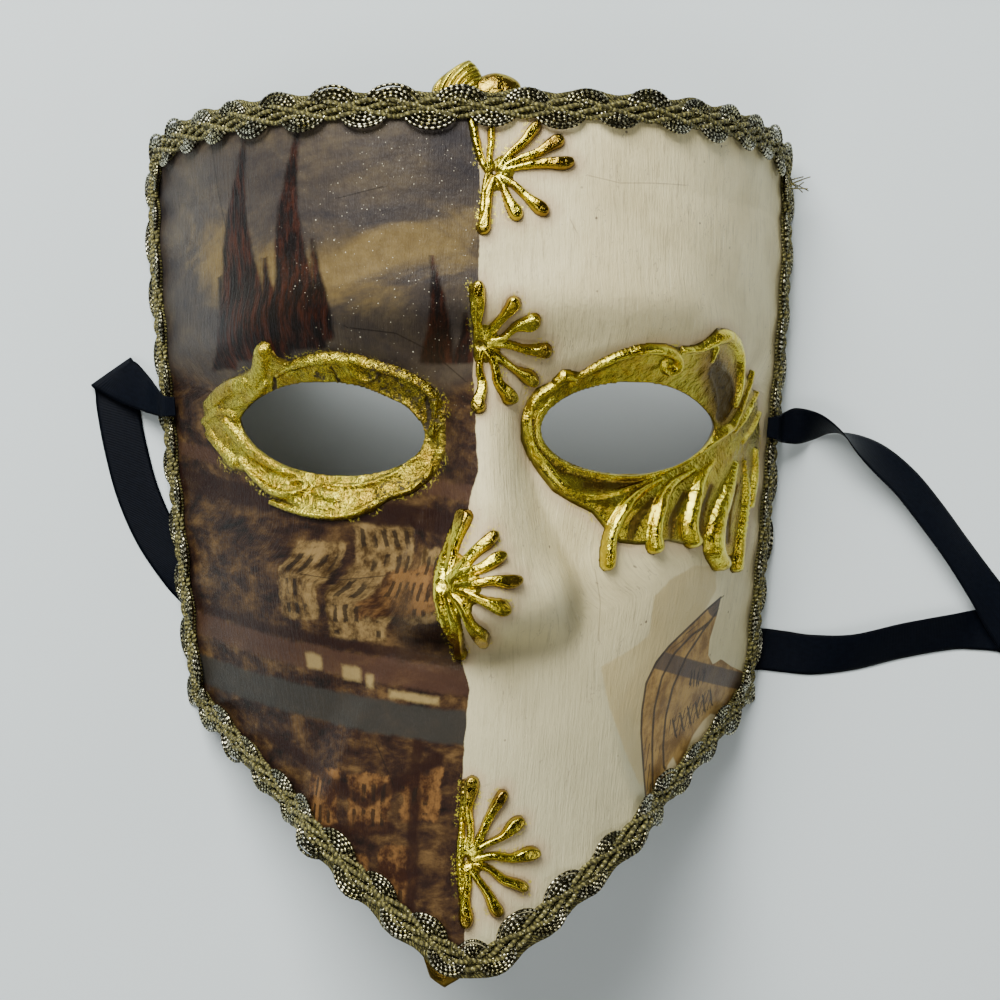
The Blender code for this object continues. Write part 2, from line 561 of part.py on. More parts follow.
def main():
    for old in list(bpy.data.objects):
        bpy.data.objects.remove(old)
    model = bpy.data.collections.new("bauta_mask")
    cutters = bpy.data.collections.new("cutters")
    for folder in (model, cutters):
        bpy.context.scene.collection.children.link(folder)

    gesso = material("ivory_gesso", (0.74, 0.70, 0.60), 0.55)
    gilt = material("gold_leaf", (0.80, 0.62, 0.20), 0.3, 1.0)
    thread = material("metal_thread", (0.30, 0.28, 0.20), 0.4, 1.0)
    satin = material("black_satin", (0.012, 0.014, 0.03), 0.45)

    shell = make_shell(gesso, model, cutters)
    facets = facets_of(shell)
    make_braid(thread, model, facets)
    make_crest(gilt, model, cutters)
    make_eye_band("gilt_eye_surround_left", -1, GILT_LEFT, gilt, model, facets)
    make_eye_band("gilt_eye_surround_right", 1, GILT_RIGHT, gilt, model, facets)
    for name, (hub, rays) in SUNBURSTS.items():
        make_sunburst(name, hub, rays, gilt, model, cutters, facets)
    for side, word in ((-1, "left"), (1, "right")):
        make_ribbon(f"ribbon_{word}", side, satin, model)
        make_coil(f"ribbon_{word}_coil", side, satin, model)
    for piece in [*model.objects, *cutters.objects]:
        piece.location.y += CENTRE_Y


if __name__ == "__main__":
    main()
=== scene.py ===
"""Bauta mask of painted papier mache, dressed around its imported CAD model.

Millimetres in the tables, metres in the meshes, +Z up out of the face, +Y to the forehead.
The face is one height over its flat outline, and every applied piece is laid on that height.
"""
import math

import bpy
import numpy as np
from bpy.props import FloatProperty, FloatVectorProperty, IntProperty, PointerProperty
from bpy.types import Operator, Panel, PropertyGroup
from mathutils import Matrix


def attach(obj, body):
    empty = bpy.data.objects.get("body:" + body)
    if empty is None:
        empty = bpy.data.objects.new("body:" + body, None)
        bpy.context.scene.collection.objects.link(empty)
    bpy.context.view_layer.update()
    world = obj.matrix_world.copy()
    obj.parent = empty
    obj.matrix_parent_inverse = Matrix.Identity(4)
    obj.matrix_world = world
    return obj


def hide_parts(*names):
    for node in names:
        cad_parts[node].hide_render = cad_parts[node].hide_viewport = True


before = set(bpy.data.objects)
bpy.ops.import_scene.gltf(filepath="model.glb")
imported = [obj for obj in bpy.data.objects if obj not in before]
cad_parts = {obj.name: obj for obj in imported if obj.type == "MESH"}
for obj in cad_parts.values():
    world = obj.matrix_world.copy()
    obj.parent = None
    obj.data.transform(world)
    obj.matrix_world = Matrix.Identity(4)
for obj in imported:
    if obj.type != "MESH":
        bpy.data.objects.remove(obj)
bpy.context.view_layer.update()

bl_info = {
    "name": "Bauta mask",
    "version": (1, 0, 0),
    "blender": (4, 5, 0),
    "location": "View3D > Sidebar > Mask",
    "description": "Builds a gilded carnival mask with a braided edge and ribbon ties",
    "category": "Add Mesh",
}

MM = 0.001

# The face's flat outline and depth, as the solids have them
TOP_HALF_WIDTH = 91.5 * MM
JAW_HALF_WIDTH = 78.5 * MM
TOP_EDGE_Y = 101 * MM
TOP_CORNER_RISE = 0.9 * MM
JAW_CORNER_Y = -58.5 * MM
CHIN_TIP_Y = -118 * MM
CHIN_TIP_RADIUS = 8 * MM
CHIN_SLOPE = 0.84
SIDE_BOW = 1.0 * MM
CHIN_LEAN = -3.6 * MM
NOSE_LEAN = 0.8 * MM
SHELL_THICKNESS = 2.4 * MM
RIM_SINK = 0.9 * MM
SIDE_RIM_LIFT = 4.0 * MM
CENTRE_Y = 4.45 * MM

EYE_X = 38.6
EYE_Y = 18.3
EYE_HALF_WIDTH = 24.4
EYE_HALF_HEIGHT = 12.3
EYE_TILT = {-1: math.radians(-6.0), 1: math.radians(1.0)}

# Heights of the middle of the face: (y, height)
CROWN = ((-125, 62), (-90, 65), (-60, 67), (-25, 66), (5, 67), (30, 71), (50, 79), (80, 77), (108, 72))
# How square the cross-section is: (y, exponent)
SQUARENESS = ((-125, 2.2), (-60, 2.3), (-20, 2.6), (20, 2.9), (60, 3.0), (108, 3.0))
# Nose: (y, height over the face, half width)
NOSE = ((-42, 0, 22), (-36, 9, 24), (-30, 19, 25), (-22, 22.5, 24.5), (-12, 19.5, 20), (5, 13.5, 13),
        (20, 8, 11), (30, 4.5, 11), (42, 0, 13))
# Muzzle: (y, height of its middle line, half width, drop at its edge)
MUZZLE = ((-125, 78, 60, 26), (-88, 76.5, 47, 22), (-60, 74, 37, 14), (-38, 71, 27, 8), (-20, 68, 24, 6))


def curve_through(y, stations, column):
    """Value at y of a smooth curve through stations, with the slopes of their neighbours (cubic Hermite)."""
    keys = np.array([s[0] for s in stations], float) * MM
    values = np.array([s[column] for s in stations], float)
    slopes = np.gradient(values, keys)
    y = np.clip(y, keys[0], keys[-1])
    i = np.clip(np.searchsorted(keys, y) - 1, 0, len(keys) - 2)
    span = keys[i + 1] - keys[i]
    t = (y - keys[i]) / span
    rise = values[i] * (1 + 2 * t) * (1 - t) ** 2 + values[i + 1] * t * t * (3 - 2 * t)
    return rise + span * (slopes[i] * t * (1 - t) ** 2 + slopes[i + 1] * t * t * (t - 1))


def step(t):
    """0 below 0, 1 above 1, and a smooth rise between."""
    t = np.clip(t, 0.0, 1.0)
    return t * t * (3 - 2 * t)


def half_width(y):
    """Half the mask's width at floor level: wider at the temples, with a slight outward bow."""
    v = (y - JAW_CORNER_Y) / (TOP_EDGE_Y + TOP_CORNER_RISE - JAW_CORNER_Y)
    bow = SIDE_BOW * np.sin(np.pi * np.clip(v, 0.0, 1.0))
    return JAW_HALF_WIDTH + (TOP_HALF_WIDTH - JAW_HALF_WIDTH) * np.clip(v, -0.4, 1.1) + bow


def lean(y):
    """Sideways shift of the hand-made face's middle line: the nose a little to +X, the chin more to -X."""
    by_nose, by_chin = step((10 * MM - y) / (35 * MM)), step((-35 * MM - y) / (75 * MM))
    return NOSE_LEAN * by_nose + (CHIN_LEAN - NOSE_LEAN) * by_chin


def face_height(x, y):
    """Height of the outer face: an arch across, then brow, eye sockets, nose, muzzle and cheeks on it."""
    x, y = np.broadcast_arrays(np.asarray(x, float), np.asarray(y, float))
    across = np.abs(x - lean(y) * np.clip(1 - (x / half_width(y)) ** 2, 0, 1))
    crown = curve_through(y, CROWN, 1) * MM
    power = curve_through(y, SQUARENESS, 1)
    lift = SIDE_RIM_LIFT * np.clip(1 - ((y - 10 * MM) / (68 * MM)) ** 12, 0, 1) - RIM_SINK
    arch = 1 - (across / half_width(y)) ** power
    z = lift + (crown - lift) * arch

    brow_line = 49 * MM - 9 * MM * step((across - 48 * MM) / (26 * MM))
    brow = np.exp(-(((y - brow_line) / (8 * MM)) ** 2)) * (1 - step((across - 58 * MM) / (20 * MM)))
    z = z + 2.6 * MM * brow

    inside = ((across / MM - EYE_X) / 33) ** 2 + ((y / MM - EYE_Y) / 21) ** 2
    z = z - 8.5 * MM * np.clip(1 - inside, 0, 1) ** 1.4

    cheek = ((across - 47 * MM) / (22 * MM)) ** 2 + ((y + 22 * MM) / (24 * MM)) ** 2
    z = z + 3.2 * MM * np.exp(-cheek * 1.6)

    ridge = curve_through(y, NOSE, 1) * MM
    nose_half = curve_through(y, NOSE, 2) * MM
    profile = np.clip(1 - (across / nose_half) ** 2, 0, 1) ** 1.45
    wings = np.exp(-(((across - 17.5 * MM) / (6.5 * MM)) ** 2) - ((y + 25 * MM) / (8.5 * MM)) ** 2)
    z = z + ridge * profile + 4.2 * MM * wings

    middle = curve_through(y, MUZZLE, 1) * MM
    edge = curve_through(y, MUZZLE, 2) * MM
    drop = curve_through(y, MUZZLE, 3) * MM
    muzzle = middle - drop * np.minimum(across / edge, 1.2) ** 1.7
    share = step((edge - across) / (9 * MM) + 0.5) * step((-32 * MM - y) / (11 * MM))
    return z + share * np.clip(muzzle - z, -6 * MM, None)


def face_normal(x, y):
    """Outward unit normals, from the slopes over half a millimetre each way."""
    h = 0.5 * MM
    slope_x = (face_height(x + h, y) - face_height(x - h, y)) / (2 * h)
    slope_y = (face_height(x, y + h) - face_height(x, y - h)) / (2 * h)
    normal = np.stack([-slope_x, -slope_y, np.ones_like(slope_x)], axis=-1)
    return normal / np.linalg.norm(normal, axis=-1, keepdims=True)


def on_face(x, y, lift=0.0):
    """Points lift millimetres above the face at the plan points x, y in millimetres; the answer is in
    metres."""
    x, y, lift = np.broadcast_arrays(np.asarray(x, float) * MM, np.asarray(y, float) * MM,
                                     np.asarray(lift) * MM)
    return np.stack([x, y, face_height(x, y)], axis=-1) + face_normal(x, y) * lift[..., None]


def plan_point(u, v):
    """Flat outline as a grid: u runs -1 to 1 from rim to rim, v runs 0 to 1 from chin edge to forehead
    edge."""
    low_x = u * JAW_HALF_WIDTH
    low_y = CHIN_TIP_Y + CHIN_SLOPE * (np.sqrt(low_x**2 + CHIN_TIP_RADIUS**2) - CHIN_TIP_RADIUS)
    top_x = u * TOP_HALF_WIDTH
    top_y = TOP_EDGE_Y + TOP_CORNER_RISE * np.minimum(np.abs(top_x) / (65 * MM), 1.0) ** 2
    cut = 4 * MM * np.abs(u) ** 10 * v**16
    y = low_y + (top_y - low_y) * v - cut
    x = low_x + (top_x - low_x) * v + SIDE_BOW * np.sin(np.pi * v) * np.sign(u) * np.abs(u) ** 3
    return x - np.sign(u) * cut + lean(y) * (1 - u**2), y


def eye_reach(side, angle, grow=0.0):
    """Radius in mm of the almond eye hole at an angle from its centre: rounded inside, pointed outside,
    tilted."""
    around = np.linspace(-np.pi, np.pi, 721)
    along = np.cos(around)
    point = 1.0 + 0.3 * step((along + 0.2) / 1.2)
    x = (EYE_HALF_WIDTH + grow) * along
    y = (EYE_HALF_HEIGHT + grow) * np.sign(np.sin(around)) * np.abs(np.sin(around)) ** point
    turned = np.unwrap(np.arctan2(y, x)) + EYE_TILT[side] * side
    return np.interp(angle, turned, np.hypot(x, y), period=2 * np.pi)


def out_of_eye(side, x, y, grow=0.0):
    """Plan points in mm with those in the hole moved straight out to its edge, and which of them were in
    it."""
    dx, dy = side * x - EYE_X, y - EYE_Y
    radius, angle = np.hypot(dx, dy), np.arctan2(dy, dx)
    edge = eye_reach(side, angle, grow)
    inside = radius < edge
    reach = np.where(inside, edge, radius)
    return side * (EYE_X + reach * np.cos(angle)), EYE_Y + reach * np.sin(angle), inside


def flared(side, x, y, grow):
    """Plan points in mm near the eye hole moved away from it, most at its outer corner, for its thinned
    inner edge."""
    dx, dy = side * x - EYE_X, y - EYE_Y
    radius, angle = np.hypot(dx, dy), np.arctan2(dy, dx)
    near = np.clip(1 - (radius - eye_reach(side, angle)) / 6, 0, 1) ** 2 * (side * x > 0)
    reach = radius + grow * near * np.clip(np.cos(angle), 0, 1)
    return side * (EYE_X + reach * np.cos(angle)), EYE_Y + reach * np.sin(angle)


def through_points(points, between):
    """A smooth curve through the rows of points (Catmull-Rom), with so many steps from each to the next."""
    points = np.asarray(points, float)
    ends = np.concatenate([2 * points[:1] - points[1:2], points, 2 * points[-1:] - points[-2:-1]])
    t = np.arange(between).reshape((-1,) + (1,) * (points.ndim - 1)) / between
    a, b, c, d = (ends[k:len(ends) - 3 + k, None] for k in range(4))
    runs = 0.5 * (2 * b + (c - a) * t + (2 * a - 5 * b + 4 * c - d) * t**2 + (3 * b - a - 3 * c + d) * t**3)
    return np.concatenate([runs.reshape((-1,) + points.shape[1:]), points[-1:]])


def ripple(x, y, size, seed):
    """Gentle unevenness about 0, at most 1: eight sine waves in fixed scattered directions, about size mm
    long."""
    rng = np.random.default_rng(seed)
    turn = rng.uniform(0, 2 * np.pi, 8)
    wave = 2 * np.pi / (size * rng.uniform(0.6, 1.7, 8))
    shift = rng.uniform(0, 2 * np.pi, 8)
    total = 0.0
    for k in range(8):
        total = total + np.sin((x * np.cos(turn[k]) + y * np.sin(turn[k])) * wave[k] + shift[k])
    return total / 8


# Meshes


def grid_faces(rows, columns, wrap_rows=False, wrap_columns=False):
    """Quads of a grid whose points run along its columns first, each seen anticlockwise from the grid's
    front."""
    i = np.arange(rows if wrap_rows else rows - 1)[:, None]
    j = np.arange(columns if wrap_columns else columns - 1)[None, :]
    ahead, beside = (i + 1) % rows, (j + 1) % columns
    i, j = np.broadcast_arrays(i, j)
    ahead, beside = np.broadcast_arrays(ahead, beside)
    quads = [i * columns + j, i * columns + beside, ahead * columns + beside, ahead * columns + j]
    return np.stack(quads, axis=-1).reshape(-1, 4)


def walled(top, low, faces):
    """Closed skin of a sheet: its top, its underside turned over, and walls where a face has no neighbour."""
    count = len(top)
    used = np.zeros(count, bool)
    used[faces.ravel()] = True
    fresh = np.cumsum(used) - 1
    faces = fresh[faces]
    top, low = top[used], low[used]
    count = len(top)
    start, end = faces.ravel(), np.roll(faces, -1, axis=1).ravel()
    rim = ~np.isin(start * count + end, end * count + start)
    start, end = start[rim], end[rim]
    walls = np.stack([end, start, start + count, end + count], axis=1)
    return np.concatenate([top, low]), np.concatenate([faces, faces[:, ::-1] + count, walls]), used


def tubes(centres, radius, upright, sides):
    """Closed tubes: rings round each row of centres, in the plane of upright and the sideways direction.

    centres is (tubes, stations, 3), radius (tubes, stations), upright (tubes, stations, 3).
    """
    count, stations = centres.shape[:2]
    ahead = np.gradient(centres, axis=1)
    aside = np.cross(ahead, upright)
    aside /= np.maximum(np.linalg.norm(aside, axis=-1, keepdims=True), 1e-12)
    over = np.cross(aside, ahead)
    over /= np.maximum(np.linalg.norm(over, axis=-1, keepdims=True), 1e-12)
    turn = 2 * np.pi * np.arange(sides) / sides
    ring = aside[:, :, None] * np.cos(turn)[:, None] + over[:, :, None] * np.sin(turn)[:, None]
    points = centres[:, :, None] + ring * radius[:, :, None, None]
    faces = grid_faces(stations, sides, wrap_columns=True)
    faces = (faces[None] + np.arange(count)[:, None, None] * stations * sides).reshape(-1, 4)
    first = np.arange(count)[:, None] * stations * sides + np.arange(sides)[None, ::-1]
    last = np.arange(count)[:, None] * stations * sides + (stations - 1) * sides + np.arange(sides)[None]
    return points.reshape(-1, 3), faces, np.concatenate([first, last])


def add_piece(name, points, faces, looks, nodes, uv=None, fields=None, second=None, caps=()):
    """Put a finished mesh in the scene, shaded smooth, at its place, riding on the mask.

    fields holds one number per point, kept as attributes; second says which faces take the second material.
    """
    mesh = bpy.data.meshes.new(name)
    every = faces.tolist() + [list(cap) for cap in caps]
    mesh.from_pydata((points + (0, CENTRE_Y, 0)).tolist(), [], every)
    mesh.shade_smooth()
    for look in looks:
        mesh.materials.append(look)
    if second is not None:
        mesh.polygons.foreach_set("material_index", second.astype(np.int32))
    if uv is not None:
        corner = np.empty(len(mesh.loops), np.int32)
        mesh.loops.foreach_get("vertex_index", corner)
        layer = mesh.uv_layers.new(name="along")
        layer.data.foreach_set("uv", uv[corner].astype(np.float32).ravel())
    for label, values in (fields or {}).items():
        mesh.attributes.new(label, "FLOAT", "POINT").data.foreach_set("value", values.astype(np.float32))
    mesh.update()
    piece = bpy.data.objects.new(name, mesh)
    bpy.context.scene.collection.objects.link(piece)
    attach(piece, "root")
    if nodes:
        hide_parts(*nodes)
    return piece


# Looks


class Look:
    """A node material: the principled shader, and short ways to add nodes to it."""

    def __init__(self, name, roughness=0.5, metallic=0.0, **sockets):
        self.material = bpy.data.materials.new(name)
        self.material.use_nodes = True
        self.tree = self.material.node_tree
        self.shader = self.tree.nodes["Principled BSDF"]
        self.shader.inputs["Roughness"].default_value = roughness
        self.shader.inputs["Metallic"].default_value = metallic
        for socket, value in sockets.items():
            self.shader.inputs[socket.replace("_", " ")].default_value = value

    def node(self, kind, inputs=(), **settings):
        made = self.tree.nodes.new(kind)
        for key, value in settings.items():
            setattr(made, key, value)
        for socket, value in dict(inputs).items():
            if isinstance(value, bpy.types.NodeSocket):
                self.tree.links.new(value, made.inputs[socket])
            else:
                made.inputs[socket].default_value = value
        return made

    def place(self):
        return self.node("ShaderNodeTexCoord").outputs["Object"]

    def uv(self):
        return self.node("ShaderNodeUVMap", uv_map="along").outputs["UV"]

    def field(self, name):
        return self.node("ShaderNodeAttribute", attribute_name=name, attribute_type="GEOMETRY").outputs["Fac"]

    def stretched(self, vector, scale, turn=(0.0, 0.0, 0.0)):
        return self.node("ShaderNodeMapping", {"Vector": vector, "Scale": scale,
                                               "Rotation": turn}).outputs["Vector"]

    def noise(self, vector, size, detail=3.0, rough=0.55, warp=0.0):
        """Cloudy noise whose blotches are about size mm across."""
        made = self.node("ShaderNodeTexNoise", {"Vector": vector, "Scale": 1 / (size * MM), "Detail": detail,
                                                "Roughness": rough, "Distortion": warp})
        return made.outputs["Fac"]

    def cells(self, vector, size, feature="F1", output="Distance", **inputs):
        made = self.node("ShaderNodeTexVoronoi", {"Vector": vector, "Scale": 1 / (size * MM), **inputs},
                         feature=feature)
        return made.outputs[output]

    def math(self, kind, a, b=0.0, c=0.0, clamp=False):
        return self.node("ShaderNodeMath", {0: a, 1: b, 2: c}, operation=kind, use_clamp=clamp).outputs[0]

    def add(self, a, b):
        return self.math("ADD", a, b)

    def less(self, a, b):
        return self.math("SUBTRACT", a, b)

    def times(self, a, b):
        return self.math("MULTIPLY", a, b)

    def remap(self, value, low, high, to_low=0.0, to_high=1.0):
        """Where value runs from low to high, to_low to to_high, smoothly and held beyond."""
        made = self.node("ShaderNodeMapRange", {"Value": value, "From Min": low, "From Max": high,
                                                "To Min": to_low, "To Max": to_high},
                         interpolation_type="SMOOTHSTEP")
        return made.outputs["Result"]

    def mix(self, share, a, b, blend="MIX"):
        a, b = (value if isinstance(value, bpy.types.NodeSocket) else (*value, 1.0) for value in (a, b))
        made = self.node("ShaderNodeMix", {0: share, 6: a, 7: b}, data_type="RGBA", blend_type=blend)
        return made.outputs[2]

    def colours(self, value, *stops):
        """A ramp through (place, colour) stops."""
        made = self.node("ShaderNodeValToRGB", {"Fac": value})
        ramp = made.color_ramp
        while len(ramp.elements) < len(stops):
            ramp.elements.new(1.0)
        for element, (where, colour) in zip(ramp.elements, stops):
            element.position = where
            element.color = (*colour, 1.0)
        return made.outputs["Color"]

    def bump(self, height, depth, under=None):
        """Bumps as deep as depth mm where height runs 0 to 1."""
        inputs = {"Height": height, "Distance": depth * MM, "Strength": 1.0}
        if under is not None:
            inputs["Normal"] = under
        return self.node("ShaderNodeBump", inputs).outputs["Normal"]

    def wear(self, **links):
        for socket, value in links.items():
            self.tree.links.new(value, self.shader.inputs[socket.replace("_", " ")])
        return self.material


def line_share(look, name, half):
    """1 on the thin lines whose signed and plain distances in mm are stored under name."""
    side = look.math("ABSOLUTE", look.field(name + "_side"))
    return look.times(look.remap(side, half, half + 0.18, 1.0, 0.0), look.remap(
        look.field(name + "_near"), 0.9, 1.4, 1.0, 0.0))


def gesso_look(settings):
    """Aged ivory gesso on one side of the middle line, a varnished print on the other."""
    look = Look("gesso_and_print")
    place = look.place()
    sheet = look.uv()
    wobble = look.less(look.noise(sheet, 9, 4), 0.5)
    ragged = look.less(look.noise(sheet, 2.2, 5, 0.7), 0.5)
    seam = look.add(look.field("seam"), look.times(wobble, 2.2))
    ivory_share = look.remap(seam, -0.2, 0.2)

    brushed = look.noise(look.stretched(sheet, (4.0, 0.35, 1.0), (0, 0, 0.3)), 5, 4, 0.8)
    hair = look.math("ABSOLUTE", look.less(look.noise(look.stretched(sheet, (1.5, 0.4, 1.0), (0, 0, 0.35)),
                                                                  7, 3, 0.7), 0.5))
    scratch = look.times(look.remap(hair, 0.002, 0.007, 1.0, 0.0), look.remap(
        look.noise(sheet, 13, 2), 0.48, 0.62, 0.0, 0.55))
    blotch = look.noise(sheet, 24, 4, 0.6)
    ivory = look.mix(look.remap(blotch, 0.35, 0.7), tuple(settings.ivory), tuple(
        c * f for c, f in zip(settings.ivory, (0.82, 0.80, 0.76))))
    ivory = look.mix(look.remap(brushed, 0.50, 0.72, 0.0, 0.6), ivory, (0.40, 0.34, 0.20))
    ivory = look.mix(look.remap(brushed, 0.42, 0.26, 0.0, 0.5), ivory, (0.90, 0.86, 0.62))
    # Painted shade: the ivory darker towards the chin, where the face turns from the light.
    ivory = look.mix(look.times(look.field("low"), 0.6), ivory, (0.42, 0.41, 0.26))
    ivory = look.mix(scratch, ivory, (0.30, 0.25, 0.17))
    gilt = look.add(look.field("gilt"), look.times(wobble, 3.0))
    ivory = look.mix(look.remap(gilt, -4.2, -0.7, 0.0, 0.5), ivory, (0.50, 0.36, 0.22))
    ivory = look.mix(look.remap(gilt, -0.9, -0.1, 0.0, 0.5), ivory, (0.24, 0.15, 0.07))
    specks = look.cells(sheet, 5.5, Randomness=1.0)
    speck = look.times(look.remap(specks, 0.04, 0.09, 1.0, 0.0), look.remap(
        look.noise(sheet, 17, 2), 0.48, 0.58, 0.0, 0.85))
    ivory = look.mix(speck, ivory, (0.10, 0.07, 0.05))
    paper = look.mix(look.noise(sheet, 12, 3), (0.46, 0.35, 0.14), (0.62, 0.53, 0.28))
    ivory = look.mix(look.remap(look.add(look.field("patch"), ragged), -0.4, 0.4, 0.0, 0.85), ivory, paper)
    panel = look.mix(look.remap(look.noise(sheet, 7, 4, 0.65), 0.35, 0.65), (0.19, 0.105, 0.028),
                     (0.44, 0.28, 0.085))
    panel = look.mix(look.remap(look.field("panel_band"), -0.3, 0.3, 0.0, 0.85), panel, (0.070, 0.050, 0.042))
    ivory = look.mix(look.remap(look.field("panel"), -0.15, 0.15), ivory, panel)
    ivory = look.mix(look.remap(look.field("pale"), -0.3, 0.3, 0.0, 0.95), ivory, (0.66, 0.56, 0.32))
    ivory = look.mix(look.times(line_share(look, "ink", 0.22), 0.85), ivory, (0.030, 0.020, 0.014))
    ivory = look.mix(look.times(line_share(look, "crack", 0.05), 0.45), ivory, (0.20, 0.14, 0.09))

    cloudy = look.noise(look.stretched(sheet, (0.6, 1.3, 1.0)), 20, 6, 0.62, 0.6)
    fine = look.noise(sheet, 3.5, 4, 0.7)
    tone = look.add(look.times(cloudy, 0.75), look.times(fine, 0.25))
    sky = look.colours(tone, (0.36, (0.030, 0.026, 0.028)), (0.5, (0.056, 0.045, 0.037)),
                       (0.64, (0.100, 0.078, 0.050)))
    haze = look.add(look.field("cloud"), look.times(look.less(cloudy, 0.5), 2.2))
    sky = look.mix(look.remap(haze, 0.25, 0.95, 0.0, 0.9), sky, look.mix(fine, (0.085, 0.054, 0.017),
                                                                         (0.25, 0.180, 0.070)))
    blocks = look.noise(look.stretched(sheet, (0.8, 1.5, 1.0), (0, 0, -0.1)), 9, 5, 0.68, 0.2)
    low = look.colours(blocks, (0.34, (0.010, 0.007, 0.006)), (0.46, (0.027, 0.014, 0.010)),
                       (0.56, (0.060, 0.033, 0.015)), (0.70, (0.140, 0.082, 0.032)))
    picture = look.mix(look.remap(look.field("ground"), -3.0, 5.0), sky, low)
    jag = look.times(look.less(look.noise(sheet, 4.5, 4, 0.65), 0.5), 4.5)
    stone = look.mix(look.remap(look.noise(sheet, 5, 4, 0.7), 0.36, 0.66), (0.050, 0.028, 0.010),
                     (0.27, 0.18, 0.072))
    rust = look.mix(look.remap(look.noise(sheet, 8, 4, 0.7), 0.38, 0.62), (0.030, 0.012, 0.007),
                    (0.21, 0.105, 0.034))
    upright = look.noise(look.stretched(sheet, (2.6, 0.6, 1.0)), 6, 4, 0.7)
    russet = look.mix(look.remap(upright, 0.42, 0.70), (0.006, 0.004, 0.004), (0.050, 0.014, 0.007))
    for label, colour, share, rough in (
            ("facade", stone, 0.9, 1.0), ("yard", rust, 0.9, 1.3), ("roof", (0.020, 0.009, 0.007), 0.85, 0.7),
            ("quay", (0.066, 0.034, 0.022), 0.75, 0.8), ("slate", (0.036, 0.034, 0.029), 0.9, 0.5),
            ("spire", russet, 0.97, 0.35), ("dash", (0.30, 0.22, 0.09), 0.85, 0.4)):
        edge = look.add(look.field(label), look.times(jag, rough))
        picture = look.mix(look.remap(edge, -0.7, 0.7, 0.0, share), picture, colour)
    axes = look.node("ShaderNodeSeparateXYZ", {"Vector": sheet})
    bars = []
    for axis, pitch, half in (("X", 3.3, 0.17), ("Y", 6.4, 0.3)):
        shifted = look.add(look.math("DIVIDE", axes.outputs[axis], pitch * MM), look.times(ragged, 0.5))
        off = look.math("ABSOLUTE", look.less(look.math("FRACT", shifted), 0.5))
        bars.append(look.remap(off, half, half + 0.1, 1.0, 0.0))
    walls = look.remap(look.math("MAXIMUM", look.field("facade"), look.field("yard")), 0.8, 1.8, 0.0, 0.8)
    window = look.times(look.times(*bars), look.times(walls, look.remap(
        look.noise(sheet, 8, 2), 0.42, 0.52)))
    picture = look.mix(window, picture, (0.013, 0.009, 0.007))
    # Glitter flakes on the print, drawn as pale dots: their sparkle is a painted highlight.
    spark = None
    for size, least in ((1.15, 0.13), (2.6, 0.09)):
        dots = look.remap(look.cells(sheet, size, Randomness=1.0), least * 0.5, least, 1.0, 0.0)
        spark = dots if spark is None else look.math("MAXIMUM", spark, dots)
    dust = look.add(look.field("glitter"), look.times(wobble, 1.2))
    spark = look.times(spark, look.times(look.remap(dust, 0.2, 0.75), look.remap(fine, 0.46, 0.58)))
    picture = look.mix(spark, picture, (0.85, 0.80, 0.62))
    picture = look.mix(look.times(line_share(look, "fold", 0.06), 0.6), picture, (0.012, 0.009, 0.007))

    colour = look.mix(ivory_share, picture, ivory)
    # Painted shade: darker beside the nose wings, under the nose and under the brow by the bridge.
    colour = look.mix(look.field("painted_shade"), colour, (0.10, 0.065, 0.03))
    leaf = look.times(look.remap(look.noise(sheet, 0.9, 3, 0.75), 0.54, 0.58), look.remap(
        look.add(gilt, look.times(ragged, 3.0)), -1.5, -0.3))
    leaf = look.times(leaf, look.remap(look.noise(sheet, 11, 2), 0.46, 0.58))
    colour = look.mix(leaf, colour, tuple(settings.gold))
    roughness = look.remap(ivory_share, 0.0, 1.0, 0.34, 0.5)
    roughness = look.add(roughness, look.times(look.less(blotch, 0.5), 0.3))
    height = look.add(look.times(brushed, 0.8), look.times(look.noise(sheet, 1.3, 2), 0.25))
    height = look.add(height, look.times(look.noise(place, 15, 2), 1.4))
    return look.wear(Base_Color=colour, Roughness=roughness, Metallic=leaf, Normal=look.bump(height, 0.45),
                     Specular_IOR_Level=look.remap(ivory_share, 0.0, 1.0, 0.09, 0.35))


def pulp_look():
    """Bare papier mache inside the shell: torn strips of grey-brown paper."""
    look = Look("pulp_inside", roughness=0.9)
    place = look.place()
    strips = look.cells(look.stretched(place, (1.0, 0.35, 1.0), (0, 0, 0.6)), 26, "F1", "Color",
                        Randomness=1.0)
    tone = look.node("ShaderNodeSeparateColor", {"Color": strips}).outputs[0]
    colour = look.colours(look.add(look.times(tone, 0.5), look.times(look.noise(place, 5, 5), 0.5)),
                          (0.25, (0.09, 0.07, 0.05)), (0.5, (0.15, 0.12, 0.09)),
        (0.8, (0.24, 0.20, 0.15)))
    height = look.add(tone, look.noise(place, 3, 5))
    return look.wear(Base_Color=colour, Normal=look.bump(height, 0.5))


